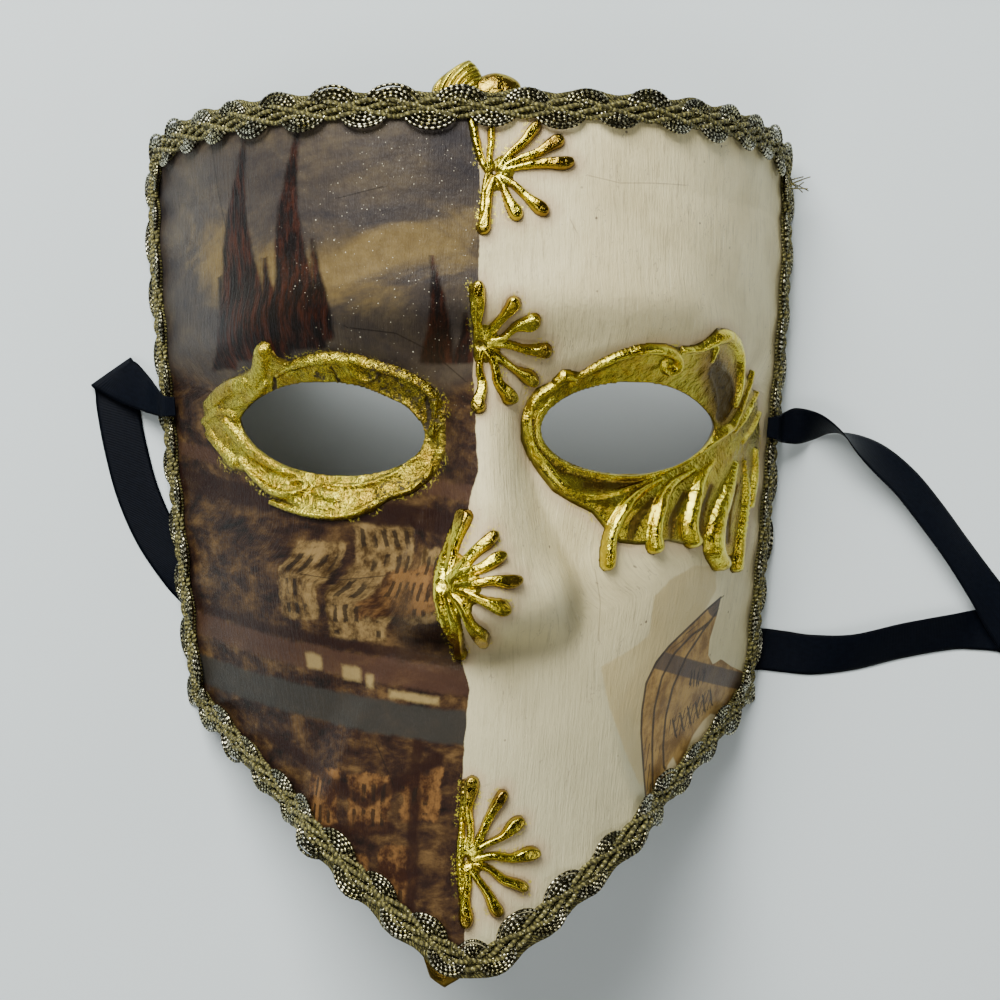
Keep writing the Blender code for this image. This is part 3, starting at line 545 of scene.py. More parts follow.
def leaf_look(name, settings, brown=0.6, crumple=0.7):
    """Gold leaf over moulded paste: lemon where it stands up, brown in its hollows as painted shade, browner
    where varnished and where painted shade is asked for, and flaked off in places, which in creases and
    recesses is painted shade too."""
    look = Look(name)
    place = look.place()
    tone = look.noise(place, 6, 4, 0.6)
    gold = tuple(settings.gold)
    colour = look.mix(look.remap(tone, 0.35, 0.65), gold,
                      tuple(c * f for c, f in zip(gold, (0.68, 0.57, 0.42))))
    flecks = look.less(look.noise(place, 1.7, 3, 0.75), 0.5)
    # Browner where varnished, and darker still as painted shade in grooves, the recess and the hubs' dimples.
    varnish_and_shade_tone = look.add(look.field("varnish_and_shade"), look.times(look.less(tone, 0.5), 0.7))
    colour = look.mix(look.remap(varnish_and_shade_tone, 0.05, 1.0, 0.0, 0.9), colour, (0.20, 0.115, 0.022))
    colour = look.mix(look.remap(varnish_and_shade_tone, 0.95, 1.45, 0.0, 0.85), colour, (0.035, 0.020, 0.006))
    # Painted shade: the leaf browner the lower it lies in its relief.
    depth = look.add(look.field("relief"), look.times(look.less(tone, 0.5), 0.8))
    hollow_shade = look.remap(depth, 0.1, 0.95, brown, 0.0)
    colour = look.mix(hollow_shade, colour, (0.070, 0.044, 0.010))
    grain = look.remap(look.add(look.noise(place, 0.8, 2, 0.7), look.times(tone, 0.4)), 0.76, 0.60)
    colour = look.mix(look.times(grain, 0.22 * crumple), colour, (0.08, 0.054, 0.012))
    # Bare paste where leaf has flaked off; on the creases and in the recess the same dark is painted shade.
    bare_leaf_and_shade = look.remap(look.add(look.field("wear_and_shade"), look.times(flecks, 2.4)), 0.62, 0.85)
    colour = look.mix(look.times(bare_leaf_and_shade, 0.9), colour, (0.035, 0.024, 0.009))
    roughness = look.add(look.remap(depth, 0.1, 1.1, 0.36, 0.14), look.times(bare_leaf_and_shade, 0.35))
    metallic = look.less(1.0, look.times(bare_leaf_and_shade, 0.8))
    dents = look.cells(place, 2.6, "SMOOTH_F1", Randomness=1.0)
    height = look.add(look.times(look.noise(place, 1.1, 3, 0.7), 1.1 * crumple),
                      look.times(look.noise(place, 4.0, 2), 1.6))
    height = look.add(height, look.times(dents, 0.7 + 0.3 * crumple))
    height = look.less(height, look.times(bare_leaf_and_shade, 0.7))
    return look.wear(Base_Color=colour, Roughness=roughness, Metallic=metallic,
                     Normal=look.bump(height, 0.26))


def thread_look(settings):
    """Metal thread: silver-gold turns, some dimmer than others, with painted shade darkening the narrow dips
    between them.
    """
    look = Look("metal_thread", metallic=1.0)
    lengthwise = look.node("ShaderNodeSeparateXYZ", {"Vector": look.uv()}).outputs["X"]
    turn = look.math("FRACT", look.add(lengthwise, 0.5))
    crest = look.remap(look.math("ABSOLUTE", look.less(turn, 0.5)), 0.0, 0.5, 1.0, 0.0)
    tone = look.noise(look.place(), 5, 4)
    metal = look.mix(look.remap(tone, 0.4, 0.6), tuple(settings.thread), (0.74, 0.72, 0.54))
    dull = look.remap(look.noise(look.place(), 1.3, 2, 0.6), 0.40, 0.60, 0.12, 1.0)
    # Painted shade: dark in the narrow dips between the turns.
    colour = look.mix(look.times(look.remap(crest, 0.35, 0.75), dull), (0.018, 0.016, 0.008), metal)
    return look.wear(Base_Color=colour, Roughness=look.remap(crest, 0.0, 1.0, 0.5, 0.22))


def olive_look():
    """The braid's olive ground and core: matt yarn shot with metal, with painted shade between its slanted
    twists and painted glints on it.
    """
    look = Look("olive_yarn", roughness=0.6, metallic=0.3)
    place = look.place()
    lengthwise = look.node("ShaderNodeSeparateXYZ", {"Vector": look.uv()})
    slant = look.math("FRACT", look.add(lengthwise.outputs["X"], lengthwise.outputs["Y"]))
    crest = look.remap(look.math("ABSOLUTE", look.less(slant, 0.5)), 0.0, 0.5, 1.0, 0.0)
    fibre = look.noise(place, 0.9, 4, 0.7)
    # Painted shade: dark between the slanted twists.
    shade = look.times(crest, look.remap(fibre, 0.35, 0.65))
    colour = look.mix(shade, (0.055, 0.050, 0.016), (0.42, 0.38, 0.11))
    # Painted glints: small bright flecks of colour.
    glint = look.remap(look.cells(place, 1.0, Randomness=1.0), 0.14, 0.24, 1.0, 0.0)
    colour = look.mix(look.times(glint, 0.8), colour, (0.84, 0.80, 0.42))
    return look.wear(Base_Color=colour, Normal=look.bump(look.add(crest, fibre), 0.35))


def satin_look(settings):
    """Dark satin ribbon: fine ribs across its width, a denser selvage, and a soft sheen."""
    look = Look("dark_satin", roughness=0.45, Specular_IOR_Level=0.05)
    way = look.node("ShaderNodeSeparateXYZ", {"Vector": look.uv()})
    ribs = look.math("SINE", look.times(way.outputs["X"], 2 * math.pi / 0.45))
    edge = look.remap(look.math("ABSOLUTE", look.less(way.outputs["Y"], 0.5)), 0.41, 0.45)
    cloth = look.noise(look.stretched(look.uv(), (0.002, 0.06, 1.0)), 4, 3)
    colour = look.mix(look.remap(cloth, 0.3, 0.7), tuple(settings.ribbon), (0.002, 0.003, 0.006))
    colour = look.mix(look.times(edge, 0.5), colour, (0.001, 0.0015, 0.003))
    return look.wear(Base_Color=colour, Normal=look.bump(look.add(look.times(ribs, 0.5), edge), 0.05))


# Shell


def seam_x(y):
    """Where print meets gesso across the face, in mm, at y mm: straight on the forehead, round the nose's
    left."""
    stations = ((-118, -5.2), (-105, -5.4), (-69, -5.9), (-47, -3.8), (-34, -7.6), (-21.5, -11.4),
                (-14, -7.7),
                (7.7, -1.9), (30, -2.9), (62, -1.3), (92, -1.5), (103, -1.4))
    keys, values = zip(*stations)
    return np.interp(y, keys, values)


def box_field(x, y, left, right, low, high):
    """How far inside a box in mm, negative outside."""
    return np.minimum(np.minimum(x - left, right - x), np.minimum(y - low, high - y))


def near_line(x, y, points, half=0.0):
    """How far inside a line of the given half width in mm, negative outside it."""
    points = np.asarray(points, float)
    best = np.full(x.shape, 1e9)
    for (ax, ay), (bx, by) in zip(points, points[1:]):
        dx, dy = bx - ax, by - ay
        t = np.clip(((x - ax) * dx + (y - ay) * dy) / (dx * dx + dy * dy), 0, 1)
        best = np.minimum(best, np.hypot(x - ax - t * dx, y - ay - t * dy))
    return half - best


def spire_field(x, y, middle, foot, top, half):
    """A tapering spire: slender above, spreading to its foot."""
    share = np.clip((y - foot) / (top - foot), 0, 1)
    width = half * (1 - share) ** 1.25 + 0.35
    return np.where(y > top, -9.0, np.minimum(width - np.abs(x - middle), y - foot))


SPIRES = ((-61.5, 36, 95, 8.5), (-47.5, 38, 97, 7.0), (-54.5, 36, 62, 5.0), (-41.5, 40, 66, 3.0),
          (-67.5, 34, 58, 3.4),
          (-12.6, 34, 61, 4.2), (-6.0, 34, 47, 2.6))


# Generic buildings of the print: left, right, low and high edges along the sheet
FACADES = ((-64, -50, -34, -14), (-47, -29, -38, -8), (-25, -14, -31, -13))
YARDS = ((-60, -44, -82, -64), (-40, -26, -80, -66), (-50, -33, -104, -86), (-29, -17, -106, -84),
         (-22, -11, -78, -66),
         (-38, -12, -26, -14))
DASHES = ((-57, -51, -49, -45), (-44, -38, -50, -46.5), (-36, -33, -51, -47.5), (-28, -13, -52.5, -50.5))
BEAMS = (((-70, -62), (-38, -100)), ((-17, -60), (-19, -104)), ((-58, -62), (-30, -76)),
         ((-30, -76), (-12, -64)),
         ((-42, -84), (-24, -82)))
FOLDS = (((-46.0, -19.0), (-36.0, -20.2), (-25.0, -19.0)),
         ((-34.0, 43.0), (-22.0, 41.5), (-13.0, 37.0), (-5.0, 30.0)),
         ((-36.0, 75.0), (-25.0, 77.5)), ((-70.0, 94.0), (-68.0, 80.0), (-64.5, 66.0)),
         ((-27.0, -62.0), (-23.0, -71.0)))


def picture_fields(x, s, y):
    """The print's own generic townscape: distances in mm, positive inside each form; s runs along the
    sheet."""
    slope = y + 0.1 * s
    fields = {"spire": np.maximum.reduce([spire_field(x + 1.2 * np.sin(y / 9), y,
                                                      *place) for place in SPIRES]),
              "facade": np.maximum.reduce([box_field(s, y + 0.06 * s, *place) for place in FACADES]),
              "yard": np.maximum.reduce([box_field(s, y - 0.1 * s, *place) for place in YARDS]),
              "dash": np.maximum.reduce([box_field(s, slope, *place) for place in DASHES]),
              "roof": np.maximum(3.0 - np.abs(slope + 7.0), 1.4 - np.abs(slope + 41.0)),
              "quay": np.maximum(3.2 - np.abs(slope + 46.0), 2.0 - np.abs(slope - 1.5)),
              "slate": 4.2 - np.abs(slope + 57.0 - 0.02 * s)}
    fields["roof"] = np.maximum.reduce([fields["roof"], *(near_line(x, y, line, 1.5) for line in BEAMS)])
    cloud = np.clip(1.1 - np.abs(y - 58 - 0.30 * (x + 40)) / 17, 0,
                    1) * step((x + 78) / 20) * step((84 - y) / 26)
    fields["cloud"] = np.maximum(cloud, np.clip(1.1 - np.hypot((x + 68) / 12, (y - 62) / 19), 0, 1))
    fields["ground"] = 33 + 4 * np.sin(x / 8) - y
    fields["glitter"] = np.clip(1.15 - np.hypot((x + 20) / 36, (y - 60) / 48), 0, 1)
    return fields


def line_fields(x, y, name, lines):
    """Distances in mm to the nearest line: one signed by its side, which stays sharp between points, and one
    plain."""
    best, side = np.full(x.shape, 1e9), np.zeros(x.shape)
    for line in lines:
        for (ax, ay), (bx, by) in zip(line, line[1:]):
            dx, dy = bx - ax, by - ay
            t = np.clip(((x - ax) * dx + (y - ay) * dy) / (dx * dx + dy * dy), 0, 1)
            away = np.hypot(x - ax - t * dx, y - ay - t * dy)
            turn = np.where(dx * (y - ay) > dy * (x - ax), 1.0, -1.0)
            side = np.where(away < best, turn * away, side)
            best = np.minimum(best, away)
    return {name + "_side": side, name + "_near": best}


# Outlines of the pasted paper on the cheek, of the panel printed on it, and its pale and inked marks
PATCH = ((44.5, -25.2), (49.6, -20.8), (56.8, -17.9), (64.0, -18.6), (64.5, -25.0), (60.0, -31.0),
         (52.0, -38.0),
         (45.0, -44.0), (42.0, -56.0), (42.6, -76.0), (40.9, -74.3), (36.5, -64.7), (32.2, -53.0),
         (30.0, -42.8),
         (37.0, -39.5), (43.4, -35.5))
PANEL = ((66.4, -27.0), (61.1, -30.0), (55.4, -34.0), (49.6, -38.4), (45.6, -42.4), (42.7, -47.9),
         (41.7, -55.2),
         (41.6, -61.1), (42.3, -69.9), (43.0, -80.8), (44.8, -92.6), (60.0, -90.0), (80.0, -66.0),
         (76.0, -50.0),
         (70.6, -47.2), (66.9, -44.6), (64.0, -45.7), (62.2, -42.8), (62.6, -38.4), (64.8, -32.5))
PALE = (((56.8, -72.0), (56.4, -68.0), (58.4, -64.6), (61.8, -61.2), (64.6, -59.8), (67.2, -61.4),
         (67.6, -64.4),
         (62.8, -70.0)),
        ((50.0, -82.0), (49.2, -77.0), (50.0, -71.6), (51.8, -69.4), (53.4, -72.6), (53.2, -79.0)))
INK = (((66.4, -27.2), (61.1, -30.2), (55.4, -34.2), (49.6, -38.6), (45.8, -42.6), (42.9, -48.0),
        (41.9, -55.2),
        (41.8, -61.1), (42.5, -69.9), (43.2, -80.8), (45.0, -92.0)),
       ((62.6, -33.5), (56.5, -36.5), (51.0, -41.0), (47.5, -47.0), (45.6, -55.0), (45.2, -64.0),
        (45.6, -76.0),
        (46.6, -90.0)),
       ((65.0, -31.0), (60.0, -36.0), (55.0, -42.0), (51.0, -50.0), (49.2, -58.0), (48.6, -66.0),
        (49.0, -72.0)),
       *(((51.6 + 2.4 * k, -59.5 + 1.3 * k), (52.5 + 2.4 * k, -63.7 + 1.3 * k)) for k in range(6)),
       *(((57.0 + 2.2 * k, -47.0), (56.4 + 2.2 * k, -50.2)) for k in range(3)))
CRACKS = (((26.0, 80.5), (34.0, 79.0), (43.0, 79.6), (52.0, 80.0)),
          ((28.5, -17.9), (29.9, -26.0), (29.5, -36.0)),
          ((21.2, 69.2), (22.4, 66.6)))


def make_shell(settings):
    """The face as a fine grid over its outline, its cells in the eye holes left out, with a pulp inside."""
    columns, rows = settings.shell_columns, settings.shell_rows
    u = np.linspace(-1, 1, columns)
    u = u * (0.88 + 0.12 * u**2)
    v = np.linspace(0, 1, rows)
    u, v = np.meshgrid(u, v)
    x, y = plan_point(u, v)
    x, y = x / MM, y / MM
    gone = np.zeros(x.shape, bool)
    for side in (-1, 1):
        near = side * x > 0
        moved_x, moved_y, inside = out_of_eye(side, x, y)
        x = np.where(near & inside, moved_x, x)
        y = np.where(near & inside, moved_y, y)
        gone |= near & inside
    outer = on_face(x, y, 0.12 * ripple(x, y, 24, 3))
    low_x, low_y = x, y
    for side in (-1, 1):
        low_x, low_y = flared(side, low_x, low_y, 2.2)
    inner = on_face(low_x, low_y, -SHELL_THICKNESS / MM)
    for sheet in (outer, inner):
        sheet[..., 2] = np.maximum(sheet[..., 2], 0.0)
    faces = grid_faces(rows, columns)
    faces = faces[~gone.ravel()[faces].all(axis=1)]

    # Distance along the sheet from the middle line, so that the print isn't stretched down the sides
    gap = np.diff(outer, axis=1)
    along = np.concatenate([np.zeros((rows, 1)), np.cumsum(np.linalg.norm(gap, axis=2), axis=1)], axis=1) / MM
    s = along - along[:, columns // 2][:, None]
    fields = picture_fields(x, s, y)
    fields["seam"] = x - seam_x(y)
    # Painted shade, growing towards the chin.
    fields["low"] = step((-10 - y) / 60)
    fields["patch"] = outline_field(x, y, PATCH)
    fields["panel"] = outline_field(x, y, PANEL)
    fields["panel_band"] = np.maximum(2.6 - np.abs(y + 42.8 + 0.36 * (x - 48.1)),
                                      3.0 - np.hypot(x - 64.5, y + 29.5))
    fields["pale"] = np.maximum.reduce([outline_field(x, y, blob) for blob in PALE])
    for name, lines in (("ink", INK), ("crack", CRACKS), ("fold", FOLDS)):
        fields.update(line_fields(x, y, name, lines))
    gilt = [outline_field(x, y, LEFT_OUTLINE), outline_field(x, y, RIGHT_OUTLINE)]
    gilt += [stroke_height(x, y, BORDERS[place]) for place in BORDERS]
    gilt += [stroke_height(x, y, sunburst_strokes(hub, rays, 0)) for hub, rays in SUNBURSTS.values()]
    fields["gilt"] = np.clip(np.maximum.reduce(gilt), -9, 1)
    # Painted shade beside the nose wings, under the nose and under the brow near the bridge.
    wing = np.exp(-(((np.abs(x - 1) - 21) / 2.6) ** 2) - ((y + 26) / 10) ** 2)
    under = np.exp(-(((x - 2) / 17) ** 2) - ((y + 39) / 3.4) ** 2)
    brow = np.exp(-(((y - 34) / 9) ** 2)) * np.exp(-(((np.abs(x) - 14) / 9) ** 2))
    fields["painted_shade"] = np.clip(0.42 * wing + 0.36 * under + 0.22 * brow, 0, 1)

    flat = outer.reshape(-1, 3)
    points, quads, used = walled(flat, inner.reshape(-1, 3), faces)
    second = np.zeros(len(quads), bool)
    second[len(faces):2 * len(faces)] = True
    uv = np.stack([s.ravel(), y.ravel()], axis=1) * MM
    double = {label: np.tile(values.ravel()[used], 2) for label, values in fields.items()}
    add_piece("mask_shell_painted", points, quads, [gesso_look(settings), pulp_look()],
              ["mask_shell"], uv=np.tile(uv[used], (2, 1)), fields=double, second=second)


# Gilding


def stroke_height(x, y, strokes, blend=0.12, flat=1.0):
    """Height in mm of half-round strokes laid on the plane, each along a smooth curve, melted together.

    A stroke is a row of (x, y, half width, height). Flat over 1 levels its top. Past its edge it is below 0.
    """
    total = np.full(x.shape, -9.0)
    for stroke in strokes:
        line = through_points(stroke, 8)
        best = np.full(x.shape, -9.0)
        for px, py, half, rise in line:
            off = np.hypot(x - px, y - py) / half
            dome = np.minimum(flat * np.sqrt(np.maximum(1 - off**2, 0)), 1)
            best = np.maximum(best, np.where(off < 1, rise * dome, (1 - off) * half))
        total = np.logaddexp(total / blend, best / blend) * blend
    return total


def add_relief(name, box, spacing, height, look, node, eye=None, seed=0, wear_and_shade=None, varnish_and_shade=None):
    """Applied paste: a plan grid lifted by a height in mm, kept where it rises over the face, closed below.

    Its columns are as far apart along the face as its rows. Round an eye it is drawn down over the edge.
    """
    fine = np.arange(box[0], box[1], 0.1)
    profile = face_height(fine * MM, (box[2] + box[3]) / 2 * MM) / MM
    arc = np.concatenate([[0], np.cumsum(np.hypot(0.1, np.diff(profile)))])
    x, y = np.meshgrid(np.interp(np.arange(0, arc[-1], spacing), arc, fine),
                       np.arange(box[2], box[3], spacing))
    gone = np.zeros(x.shape, bool)
    if eye is not None:
        x, y, gone = out_of_eye(eye, x, y, -0.3)
    rise = height(x, y)
    keep = rise > -0.35
    faces = grid_faces(*x.shape)
    faces = faces[keep.ravel()[faces].all(axis=1) & ~gone.ravel()[faces].all(axis=1)]
    rise = rise + 0.07 * ripple(x, y, 3.0, seed) * np.clip(rise, 0, 1) * step((77 - np.abs(x)) / 8)
    rise = np.where(gone, np.minimum(rise, 0.3), rise)
    top = on_face(x, y, np.maximum(rise, -0.35)).reshape(-1, 3)
    low_x, low_y = (x, y) if eye is None else flared(eye, x, y, 2.0)
    low = on_face(low_x, low_y, np.where(gone, -SHELL_THICKNESS / MM - 0.2, -0.8)).reshape(-1, 3)
    points, quads, used = walled(top, low, faces)
    fields = {"relief": np.clip(rise, 0, 4), "wear_and_shade": wear_and_shade(x, y) if wear_and_shade else np.full(x.shape, 0.1),
              "varnish_and_shade": varnish_and_shade(x, y) if varnish_and_shade else np.zeros(x.shape)}
    fields = {label: np.tile(values.ravel()[used], 2) for label, values in fields.items()}
    add_piece(name, points, quads, [look], [node], fields=fields)


SUNBURSTS = {
    "forehead": ((2.6, 81.0), ((-102, 15.3), (-64, 12.7), (-39, 16.4), (8, 19.8), (27, 18.8), (48, 16.5))),
    "brow": ((-0.7, 38.8), ((-93, 16.5), (-63, 16.0), (-34, 16.5), (-5, 17.1), (24, 14.9), (52, 13.2),
                            (95, 14.6))),
    "nose": ((-10.2, -20.5), ((-77, 19.6), (-54, 17.8), (-20, 16.4), (4, 18.2), (28, 16.2), (46, 17.9),
                              (73, 19.0))),
    "chin": ((-5.1, -88.9), ((-90, 16.5), (-59, 16.0), (-27, 17.0), (3, 18.4), (34, 17.0), (60, 19.6),
                             (85, 20.4))),
}


# The gilded border on the seam side of each sunburst: rows of (x, y, half width, height)
BORDERS = {
    "forehead": (((-3.2, 95.5, 0.9, 0.9), (-2.3, 90.5, 1.1, 1.1), (-0.9, 84.5, 0.9, 1.1),
                  (0.6, 81.4, 0.7, 0.9)),
                 ((1.9, 95.5, 0.8, 1.1), (1.8, 90.0, 0.9, 1.3), (1.3, 84.0, 0.75, 1.2),
                  (1.6, 81.6, 0.6, 0.9)),
                 ((0.4, 80.0, 0.6, 0.7), (-0.6, 74.0, 0.5, 0.8), (-0.9, 68.5, 0.7, 0.8)),),
    "brow": (((-3.4, 52.5, 0.8, 0.9), (-3.0, 46.0, 0.6, 0.8), (-1.8, 40.0, 0.7, 0.9)),
             ((-1.6, 37.5, 0.7, 0.9), (-1.4, 29.0, 0.5, 0.7), (-2.2, 22.0, 0.4, 0.5))),
    "nose": (((-5.6, -2.8, 1.1, 1.5), (-8.6, -10.6, 1.3, 1.7), (-11.2, -20.5, 1.7, 1.9),
              (-9.8, -29.5, 1.4, 1.7),
              (-6.0, -37.5, 1.1, 1.4)),),
    "chin": (((-5.4, -70.0, 0.9, 1.2), (-6.0, -80.0, 0.9, 1.3), (-6.4, -89.0, 1.2, 1.5),
              (-6.2, -98.0, 0.8, 1.2),
              (-5.6, -104.0, 0.7, 1.0)),),
}


def sunburst_strokes(hub, rays, seed):
    """Each ray narrow at the hub, a little wavy, and swollen at its tip."""
    rng = np.random.default_rng(seed)
    strokes = []
    for angle, length in rays:
        along = np.array((math.cos(math.radians(angle)), math.sin(math.radians(angle))))
        aside = np.array((-along[1], along[0]))
        bend = rng.uniform(-0.7, 0.7, 4)
        rows = []
        for share, half, rise, sway in ((0.09, 0.7, 1.1, 0), (0.35, 0.95, 1.5, bend[0]),
                                        (0.62, 1.15, 1.7, bend[1]),
                                        (0.85, 1.7, 2.1, 0), (0.93, 1.6, 2.0, 0)):
            here = np.array(hub) + along * length * share + aside * sway
            rows.append((here[0], here[1], half * rng.uniform(0.85, 1.15), rise))
        strokes.append(rows)
    return strokes


def make_sunbursts(settings):
    """Four half sunbursts of paste down the middle line, the leaf webbed between the rays near each hub."""
    look = leaf_look("wet_gold", settings, 0.75)
    for seed, (place, (hub, rays)) in enumerate(SUNBURSTS.items()):
        strokes = sunburst_strokes(hub, rays, seed + 11)
        reach = 7.5 if place == "nose" else 3.6
        box = (hub[0] - 8, hub[0] + 24, hub[1] - 24, hub[1] + 24)

        def height(x, y, place=place, strokes=strokes, reach=reach, hub=hub):
            away = np.hypot(x - hub[0], y - hub[1])
            near = stroke_height(x, y, strokes, 0.7)
            web = np.minimum(near + 0.9, 0.55 + 0.35 * ripple(x, y, 1.4,
                                                              4)) - 0.5 * np.clip(away - reach, 0, 9)
            rise = np.maximum(stroke_height(x, y, strokes, 0.08, 1.35), web)
            rise = np.maximum(rise, stroke_height(x, y, BORDERS[place]) + 0.25 * ripple(x, y, 1.8, 9))
            return rise - 0.6 * np.exp(-(away / 1.1) ** 2)

        # Browner towards the rays' ends, and painted shade in the dimple at the hub.
        def varnish_and_shade(x, y, hub=hub):
            away = np.hypot(x - hub[0], y - hub[1])
            return 0.75 * step((away - 9) / 8) + 0.5 * np.exp(-(away / 1.6) ** 2)

        add_relief(f"gilt_sunburst_{place}_paste", box, settings.relief_spacing / MM * 0.85, height, look,
                   f"gilt_sunburst_{place}", seed=seed, varnish_and_shade=varnish_and_shade)


LEFT_OUTLINE = ((-73.9, 21.2), (-72.8, 25.4), (-67.8, 29.4), (-61.5, 33.2), (-57.9, 34.5), (-57.1, 39.2),
                (-54.4, 39.8),
                (-52.1, 36.8), (-48.8, 35.2), (-43.5, 36.5), (-38.4, 37.1), (-32.1, 36.7), (-24.6, 34.2),
                (-19.7, 32.2), (-14.7, 29.5), (-10.9, 26), (-9.5, 22.2), (-9.5, 15.2), (-9.3, 12.2),
                (-12, 6.4),
                (-17.2, 2.2), (-23.5, 0.2), (-28.1, -2.9), (-33.2, -4.7), (-38, -5.2), (-44, -3.8),
                (-50.6, -0.8),
                (-56.9, 2.5), (-61.4, 7.2), (-65.4, 7.7), (-68.3, 9.8), (-68.3, 12.5), (-73, 17.4))
RIGHT_OUTLINE = ((77.8, 26.6), (74.5, 31), (71.1, 35.5), (69.1, 41.1), (65.1, 43.8), (61.3, 44.2), (58.1, 41),
                 (53.3, 39), (48.3, 38.8), (44.9, 39.2), (39.5, 38.5), (33.6, 36.3), (28.9, 33.8),
                 (24.3, 32.2),
                 (20.4, 32.7), (17.4, 30.2), (13.1, 28.2), (10.6, 24.7), (9.4, 20.2), (9.3, 15.2),
                 (11.2, 10.7),
                 (14.3, 6.4), (17.6, 2.3), (22, -0.5), (27.7, -3.4), (30.6, -7), (34.8, -11.1), (39.1, -11.7),
                 (43.6, -11.8), (48.2, -11), (55.2, -12.6), (59.5, -12), (65.4, -17), (70.5, -16.5),
                 (74.0, -12.2),
                 (76.5, -4.1), (78.5, 4.3), (79.2, 12), (79.3, 18.4))


def outline_field(x, y, outline):
    """Signed distance in mm to a closed outline: positive inside, by crossings of a ray to +X."""
    corners = np.asarray(outline, float)
    ahead = np.roll(corners, -1, axis=0)
    distance = np.full(x.shape, 1e9)
    inside = np.zeros(x.shape, bool)
    for (ax, ay), (bx, by) in zip(corners, ahead):
        dx, dy = bx - ax, by - ay
        t = np.clip(((x - ax) * dx + (y - ay) * dy) / (dx * dx + dy * dy), 0, 1)
        distance = np.minimum(distance, np.hypot(x - ax - t * dx, y - ay - t * dy))
        if ay != by:
            crosses = ((ay > y) != (by > y)) & (x < ax + (y - ay) * dx / dy)
            inside ^= crosses
    return np.where(inside, distance, -distance)


# Rolls, scrolls and leaves of the left band: rows of (x, y, half width, height)
LEFT_STROKES = (
    ((-52.0, 32.6, 0.8, 1.6), (-48.5, 34.4, 1.0, 2.0), (-43.5, 35.7, 1.1, 2.3), (-38.4, 36.1, 1.1, 2.3),
     (-34.5, 35.4, 1.0, 2.1), (-31.5, 32.2, 0.9, 1.9), (-29.2, 30.9, 0.9, 1.8), (-26.4, 31.8, 0.9, 1.8)),
    ((-33, 36.0, 0.7, 1.8), (-28, 34.4, 0.9, 2.2), (-23, 33.0, 1.0, 2.3), (-18, 30.9, 1.0, 2.3),
     (-13.5, 27.8, 1.0, 2.4), (-11.4, 24.4, 1.1, 2.5), (-11.1, 20.0, 1.3, 2.6), (-11.9, 17.2, 1.7, 2.6)),
    ((-55.6, 38.2, 2.2, 2.4), (-56.2, 34.8, 2.4, 2.1), (-57.4, 32.2, 2.3, 1.9)),
    ((-71.2, 25.2, 2.0, 1.6), (-66.8, 28.4, 2.3, 2.2), (-62.4, 30.0, 2.3, 2.1), (-58.2, 29.2, 2.1, 1.9)),
    ((-62.0, 25.6, 1.5, 1.6), (-58.4, 27.2, 1.6, 1.9), (-55.2, 30.2, 1.4, 1.8)),
    ((-72.4, 20.8, 1.5, 1.6), (-69.2, 22.8, 1.4, 1.9), (-65.6, 23.2, 1.2, 1.6), (-63.6, 21.2, 0.9, 1.3)),
    ((-66.8, 20.6, 1.5, 1.8), (-62.2, 15.8, 1.9, 2.1), (-57.0, 11.2, 2.0, 2.2), (-51.2, 7.6, 1.7, 2.0),
     (-46.5, 5.8, 1.2, 1.7)),
    ((-71.4, 17.4, 1.4, 1.5), (-67.8, 13.2, 1.4, 1.7), (-64.4, 9.8, 1.7, 1.9)),
    ((-62.4, 10.4, 0.9, 1.7), (-58.8, 6.2, 1.1, 2.1), (-54.5, 2.6, 1.2, 2.4), (-50.5, 1.2, 1.2, 2.4),
     (-47.0, 1.4, 1.1, 2.2), (-44.6, 3.0, 1.0, 2.0), (-45.4, 4.6, 0.8, 1.7), (-48.0, 4.4, 0.8, 1.6)),
    ((-54.0, -0.6, 0.8, 1.3), (-48.0, -2.6, 0.9, 1.7), (-41.0, -3.9, 1.0, 1.9), (-34.0, -3.6, 1.0, 1.9),
     (-29.0, -1.8, 1.0, 1.8), (-24.0, 0.8, 0.8, 1.6), (-18.0, 2.8, 0.8, 1.5), (-13.2, 7.2, 0.9, 1.5),
     (-10.8, 12.4, 1.0, 1.6)),
    ((-41.5, 1.8, 1.8, 1.7), (-37.0, 0.6, 1.9, 1.7)),
    ((-40.0, 3.8, 0.7, 1.5), (-34.0, 3.2, 0.7, 1.5), (-28.5, 4.0, 0.8, 1.5), (-22.5, 6.4, 0.8, 1.5),
     (-17.5, 10.2, 0.7, 1.4)),
    ((-30.5, 30.4, 0.8, 1.2), (-24.5, 27.2, 0.9, 1.4), (-19.0, 24.8, 0.9, 1.4), (-15.4, 20.6, 0.8, 1.4)),
)
# Creases cut into it, darkened as painted shade: rows of (x, y, half width, depth)
LEFT_GROOVES = (
    ((-52.6, 31.8, 0.5, 1.2), (-52.9, 28.0, 0.6, 1.3)),
    ((-38.0, 34.0, 0.3, 1.2), (-35.6, 29.6, 0.35, 1.3)),
    ((-14.2, 26.0, 0.5, 1.1), (-13.4, 22.0, 0.5, 1.1), (-13.9, 18.6, 0.4, 1.0)),
)
